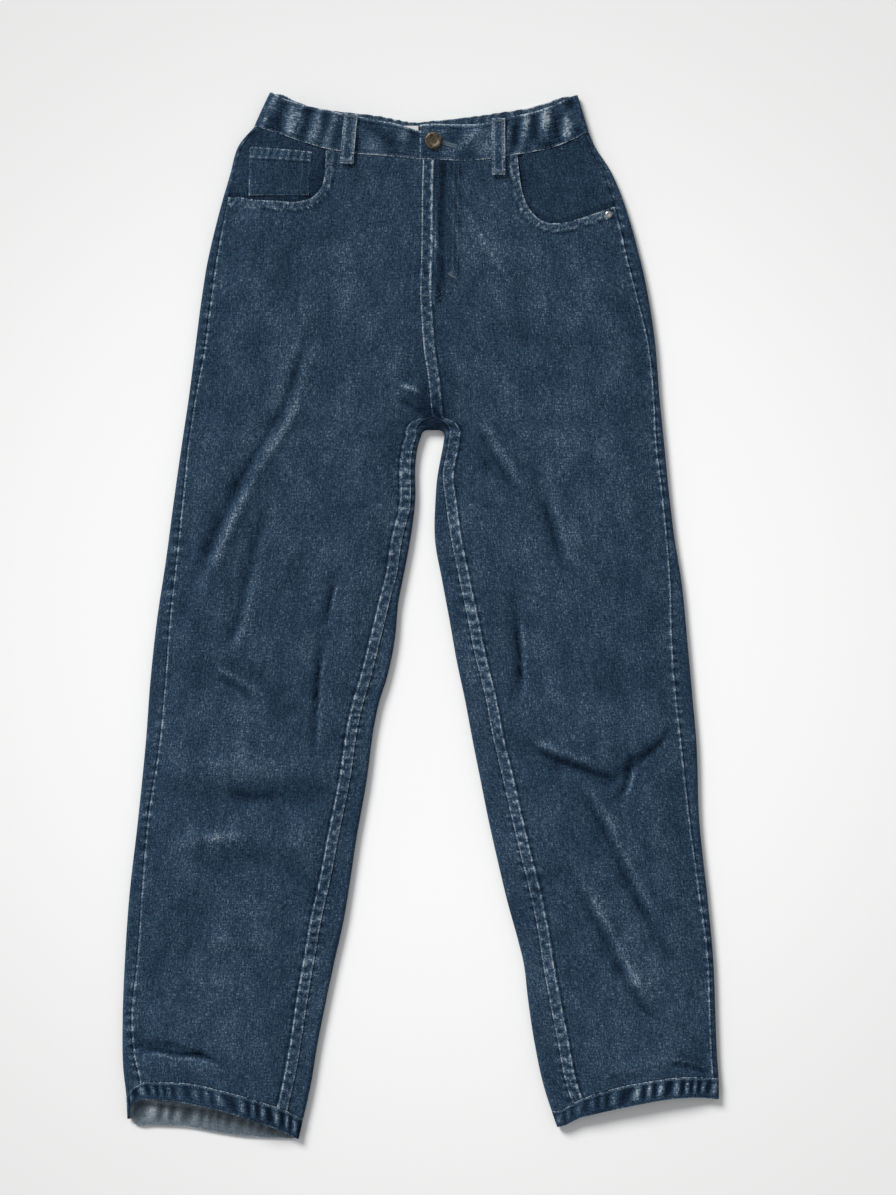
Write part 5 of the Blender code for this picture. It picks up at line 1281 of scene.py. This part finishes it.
def makeLabel():
    half, low = label["width"] / 2, cloth["folded"] + waist["gatherRise"] + backLoop["thick"] + 1.2
    drop, share = np.meshgrid(np.linspace(label["top"] - 1.5, label["foot"], 12),
                              np.linspace(-1, 1, 8), indexing="ij")
    plan = np.stack([label["across"] + share * half, drop], axis=-1)
    height = low + 0.5 - 0.15 * share ** 2 + 0.2 * np.sin(drop / 5)
    addPiece("label", np.dstack([plan, height]), gridFaces(12, 8), (looks["label"],), plan, 0.0, 99.0,
             label["thick"], up=None)


# Stitching: lines laid on the finished pieces, then a stitch at every pitch by Geometry Nodes

def stitchTree():
    group = bpy.data.node_groups.new("stitches", "GeometryNodeTree")
    face = group.interface
    face.new_socket("Geometry", in_out="INPUT", socket_type="NodeSocketGeometry")
    for key, kind in (("Pitch", "Float"), ("Length", "Float"), ("Width", "Float"), ("Height", "Float"),
                      ("Look", "Material")):
        face.new_socket(key, in_out="INPUT", socket_type="NodeSocket" + kind)
    face.new_socket("Geometry", in_out="OUTPUT", socket_type="NodeSocketGeometry")
    tree = Tree(group)
    start = group.nodes.new("NodeGroupInput")
    given = {socket.name: Wire(tree, socket) for socket in start.outputs if socket.name}
    curve = tree.add("GeometryNodeMeshToCurve", {}, {"Mesh": given["Geometry"]})
    even = tree.add("GeometryNodeResampleCurve", dict(mode="LENGTH"),
                    {"Curve": curve, "Length": given["Pitch"]})
    ball = tree.add("GeometryNodeMeshIcoSphere", {}, {"Radius": 1.0, "Subdivisions": 1})
    smoothed = tree.add("GeometryNodeSetShadeSmooth", {}, {"Geometry": ball, "Shade Smooth": True})
    tangent = tree.add("GeometryNodeInputTangent", {}, {})
    turn = tree.add("FunctionNodeAlignRotationToVector", dict(axis="X"), {"Vector": tangent})
    size = tree.add("ShaderNodeCombineXYZ", {}, {"X": given["Length"], "Y": given["Width"],
                                                 "Z": given["Height"]})
    spread = tree.add("GeometryNodeInstanceOnPoints", {},
                      {"Points": even, "Instance": smoothed, "Rotation": turn, "Scale": size})
    real = tree.add("GeometryNodeRealizeInstances", {}, {"Geometry": spread})
    done = tree.add("GeometryNodeSetMaterial", {}, {"Geometry": real, "Material": given["Look"]})
    finish = group.nodes.new("NodeGroupOutput")
    group.links.new(done.socket, finish.inputs[0])
    return group


def layOn(name, path, lift, under=False):
    # Drops a plan path onto a piece and returns the points that land on it
    piece = pieces[name]
    if name not in trees:
        trees[name] = BVHTree.FromObject(piece, bpy.context.evaluated_depsgraph_get())
    landed = []
    for x, y, _ in toFrame(np.column_stack([path, np.zeros(len(path))])):
        far = -0.1 if under else 0.1
        hit = trees[name].ray_cast(Vector((x, y, far)), Vector((0, 0, -1 if far > 0 else 1)))[0]
        landed.append(None if hit is None else (x, y, hit.z + math.copysign(lift * mm, far)))
    return landed


trees, sewn = {}, {}


def sew(name, path, step=1.5, kind="plain", under=False, smoothed=True):
    path = evenly(path, step) if smoothed else np.asarray(path, float)
    sewn.setdefault((name, kind), []).append(layOn(name, path, thread["lift"] * (0.3 if under else 1), under))


def makeStitches(group):
    made = {}
    kinds = dict(plain=(thread["pitch"], thread["length"], thread["width"]),
                 tack=(0.62, 0.62, 0.34), buttonhole=(0.62, 0.7, 0.34))
    for (name, kind), lines in sewn.items():
        points, edges = [], []
        for line in lines:
            last = False
            for place in line:
                if place is not None:
                    points.append(place)
                    if last:
                        edges.append((len(points) - 2, len(points) - 1))
                last = place is not None
        title = name + "_stitching" + ("" if kind == "plain" else "_" + kind)
        data = bpy.data.meshes.new(title)
        data.from_pydata(points, edges, [])
        piece = bpy.data.objects.new(title, data)
        bpy.context.scene.collection.objects.link(piece)
        run = piece.modifiers.new("stitches", "NODES")
        run.node_group = group
        pitch, length, width = kinds[kind]
        wanted = dict(Pitch=pitch * mm, Length=length * mm, Width=width * mm,
                      Height=thread["height"] * mm, Look=looks["thread"])
        for item in group.interface.items_tree:
            if item.item_type == "SOCKET" and item.in_out == "INPUT" and item.name in wanted:
                run[item.identifier] = wanted[item.name]
        settle(piece)
        made.setdefault(name, []).append(piece)
        pieces[title] = piece
    return made


def zigzag(a, b, wide, pitch=0.5):
    # Points that cross to and fro from a to b, for bar tacks and the buttonhole
    a, b = np.asarray(a, float), np.asarray(b, float)
    run = unit(b - a)
    count = int(np.linalg.norm(b - a) / pitch)
    side = np.array([-run[1], run[0]]) * wide / 2
    return np.array([mix(a, b, k / count) + side * (1 if k % 2 else -1) for k in range(count + 1)])


def tack(name, a, b, wide):
    sew(name, evenly(zigzag(fromSheet(a), fromSheet(b), wide), 0.4), kind="tack", smoothed=False)


def sewAll(plans):
    for name, table, low, high in (("waistband_right", frontTop, -124, 9),
                                   ("waistband_left", overlapTop, 1.5, 127)):
        across = np.linspace(low, high, 70)
        sew(name, np.column_stack([across, smooth(table, across) + 2.4]))
        sew(name, np.column_stack([across, smooth(waistSeam, across) - 2.2]))
    sew("waistband_left", ((1.6, 38.5), (1.6, 66.5)))
    for name, low, high in (("waistband_back", -148, -129), ("waistband_back", 131.5, 156)):
        across = np.linspace(low, high, 16)
        table = frontTop if low < 0 else overlapTop
        sew(name, np.column_stack([across, smooth(table, across) + 2.6]))
        sew(name, np.column_stack([across, smooth(waistSeam, across) - 2.2]))
    across = np.linspace(-140, 146, 150)
    for offset in (3.2, 9.6, 16.0, 22.4, 29.0):
        sew("waistband_back", np.column_stack([across, smooth(backTop, across) + offset]))
        sew("waistband_back", np.column_stack([across, smooth(backTop, across) + offset]), under=True)
    for side in (right, left):
        name, plan = "front_" + side["word"], plans[side["word"]]
        opening = evenly(side["pocket"], 2.5)
        for offset in pocketEdge["stitches"]:
            sew(name, beside(opening, side["sign"] * offset))
        drops = np.linspace(crotch["edge"] + 4, side["hem"][1] - 3, 320)
        point, out = edgePoint(side, "inner", drops)
        inset = insetAt(side, "inner", drops)
        for offset in (1.6, felled["width"] - 2.2):
            sew(name, point - out * (inset + offset)[:, None])
        across = np.linspace(side["cuff"]["outer"][0][1], side["cuff"]["inner"][0][1], 90)[2:-2]
        sew("cuff_" + side["word"], np.column_stack([across, smooth(side["cuff"]["frontTop"],
                                                                     across) + 2.0]))
        corners = pocketOutline(side)
        for offset in (2.0, 8.0):
            mid = corners.mean(0)
            ring = corners[[0, 4, 3, 2, 1]]
            shrunk = mid + (ring - mid) * (1 - 2 * offset / backPocket["width"])
            shrunk[[0, -1], 1] = backPocket["top"] + 1
            for a, b in zip(shrunk, shrunk[1:]):
                sew("back_pocket_" + side["word"], np.linspace(a, b, 30), under=True)
        for offset in (backPocket["hem"] - 6, backPocket["hem"]):
            top = corners[:2] + [[side["sign"] * 2, offset], [-side["sign"] * 2, offset]]
            sew("back_pocket_" + side["word"], np.linspace(top[0], top[1], 40), under=True)
        far, near = side["sign"] * 190, side["sign"] * 4
        for offset in (2.0, 8.0):
            line = np.array([(far, yoke["side"] + offset), (near, yoke["centre"] + offset)])
            sew("back_" + side["word"], np.linspace(line[0], line[1], 90), under=True)
    drops = np.linspace(78, 300, 80)
    line = np.column_stack([smooth(centreLine, drops), drops])
    drops = np.linspace(215, 322, 40)
    low = np.column_stack([smooth(centreLine, drops), drops])
    for offset in (1.6, felled["width"] - 2.2):
        sew("front_left", (line if offset < 3 else low) + [offset, 0])
    for reach in fly["stitches"]:
        turn = np.linspace(0, math.pi / 2, 24)
        curve = np.column_stack([reach * np.cos(turn),
                                 fly["turn"] + (reach - 4) * np.sin(turn) * 1.05])
        straight = np.column_stack([np.full(40, reach), np.linspace(fly["top"], fly["turn"] - 2, 40)])
        path = np.vstack([straight, curve])
        path[:, 0] += smooth(centreLine, path[:, 1])
        sew("front_left", path[:-3])
    for side in (right, left):
        drops = np.linspace(backBandSeam(0) + 6, crotch["edge"] - 8, 110)
        for offset in (2.0, 8.0) if side is left else ():
            path = np.column_stack([smooth(centreLine, drops) + offset, drops])
            sew("yoke_left", path[drops < yoke["centre"] - 1], under=True)
            sew("back_left", path[drops > yoke["centre"] + 1], under=True)
    a, b, c, d = (np.array(corner, float) for corner in coinPocket["corners"])
    for offset in (2.0, 8.6):
        sew("coin_pocket", np.linspace(a + [1.5, offset], b + [-1.5, offset], 30))
    for offset in (1.8, 8.4):
        sew("coin_pocket", np.linspace(b + [-offset, 2], c + [-offset, -1], 30))
    sew("coin_pocket", np.linspace(a + [1.8, 2], d + [1.8, -1], 30))
    for name, x0, d0, x1, d1 in beltLoops:
        run = unit(np.array([x1 - x0, d1 - d0], float))
        across = np.array([-run[1], run[0]])
        ends = np.array([(x0, d0), (x1, d1)]) + [run * 1.0, -run * 1.0]
        for offset in (-3.4, 3.4):
            sew(name, np.linspace(ends[0] + across * offset, ends[1] + across * offset, 30))
        for at in (np.array([x0, d0]) + run * 2.6, np.array([x1, d1]) - run * 2.8):
            sew(name, evenly(zigzag(at - across * 5.6, at + across * 5.6, 1.8), 0.4), kind="tack",
                smoothed=False)
    for name, place in backLoops:
        top = smooth(backTop, place) + 4
        for offset in (-3.4, 3.4):
            sew(name, np.linspace((place + offset, top), (place + offset, top + 30), 20), under=True)
    tack("front_left", (419.8, 297), (432, 297), 1.6)
    tack("front_left", (448.4, 275.2), (455.6, 279.2), 1.6)
    for word, a, b in (("left", (517.5, 166), (509.5, 166.5)), ("right", (325.6, 166), (333, 166))):
        tack("front_" + word, a, b, 1.6)
    hole = (fromSheet((440.5, 144.2)), fromSheet((456.7, 148.7)))
    run = unit(hole[1] - hole[0])
    for offset in (-1.1, 1.1):
        shift = np.array([-run[1], run[0]]) * offset
        sew("waistband_left", evenly(zigzag(hole[0] + shift, hole[1] + shift, 1.7), 0.4),
            kind="buttonhole", smoothed=False)


# Build

for side in (right, left):
    plan = makeFront(side)
    side["plan"] = plan
    makeFacing(side, plan)
    makeBack(side)
    makeBackPocket(side)
    makeCuff(side)
print("panels, pockets and cuffs")
makeCoinPocket()
makeWaistband()
for loop in beltLoops:
    makeBeltLoop(*loop)
for loop in backLoops:
    makeBackLoop(*loop)
print("waistband and loops")
makeButton()
makeRivet()
makeZip()
makeLabel()
print("button, rivet, zip and label")
sewAll({"right": right["plan"], "left": left["plan"]})
stitching = makeStitches(stitchTree())
print("stitching")

# Every piece hangs from the root body, and any frame part of the same name is hidden
nodes = set(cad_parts)
for name, piece in pieces.items():
    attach(piece, "root")
    if name in nodes:
        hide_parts(name)
    if name.startswith("belt_loop"):
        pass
    elif "stitching" in name:
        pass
    else:
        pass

# Floor, light and camera
bpy.ops.mesh.primitive_plane_add(size=8, location=(0, 0, -0.0004))
floor = bpy.context.object
floor.name = "floor"
floor.data.materials.append(looks["floor"])

stage = dict(height=3.0, lens=90.4, centre=(0.02744, 0.01798), lamp=(-1.0, 1.3, 1.05), spread=22.0,
             sun=3.5, sky=0.41)
world = bpy.data.worlds.new("sky")
bpy.context.scene.world = world
world.use_nodes = True
world.node_tree.nodes["Background"].inputs["Color"].default_value = (0.96, 0.98, 1.0, 1)
world.node_tree.nodes["Background"].inputs["Strength"].default_value = stage["sky"]
lamp = bpy.data.objects.new("lamp", bpy.data.lights.new("lamp", "SUN"))
lamp.data.angle = math.radians(stage["spread"])
lamp.data.energy = stage["sun"]
lamp.data.color = (1.0, 0.99, 0.97)
lamp.location = stage["lamp"]
lamp.rotation_euler = Vector((-v for v in stage["lamp"])).to_track_quat("-Z", "Y").to_euler()
bpy.context.scene.collection.objects.link(lamp)
camera = bpy.data.objects.new("camera", bpy.data.cameras.new("camera"))
camera.data.lens = stage["lens"]
camera.data.sensor_width = 36
camera.location = (*stage["centre"], stage["height"])
bpy.context.scene.collection.objects.link(camera)
bpy.context.scene.camera = camera
bpy.context.scene.view_settings.view_transform = "Standard"
print("floor, light and camera")
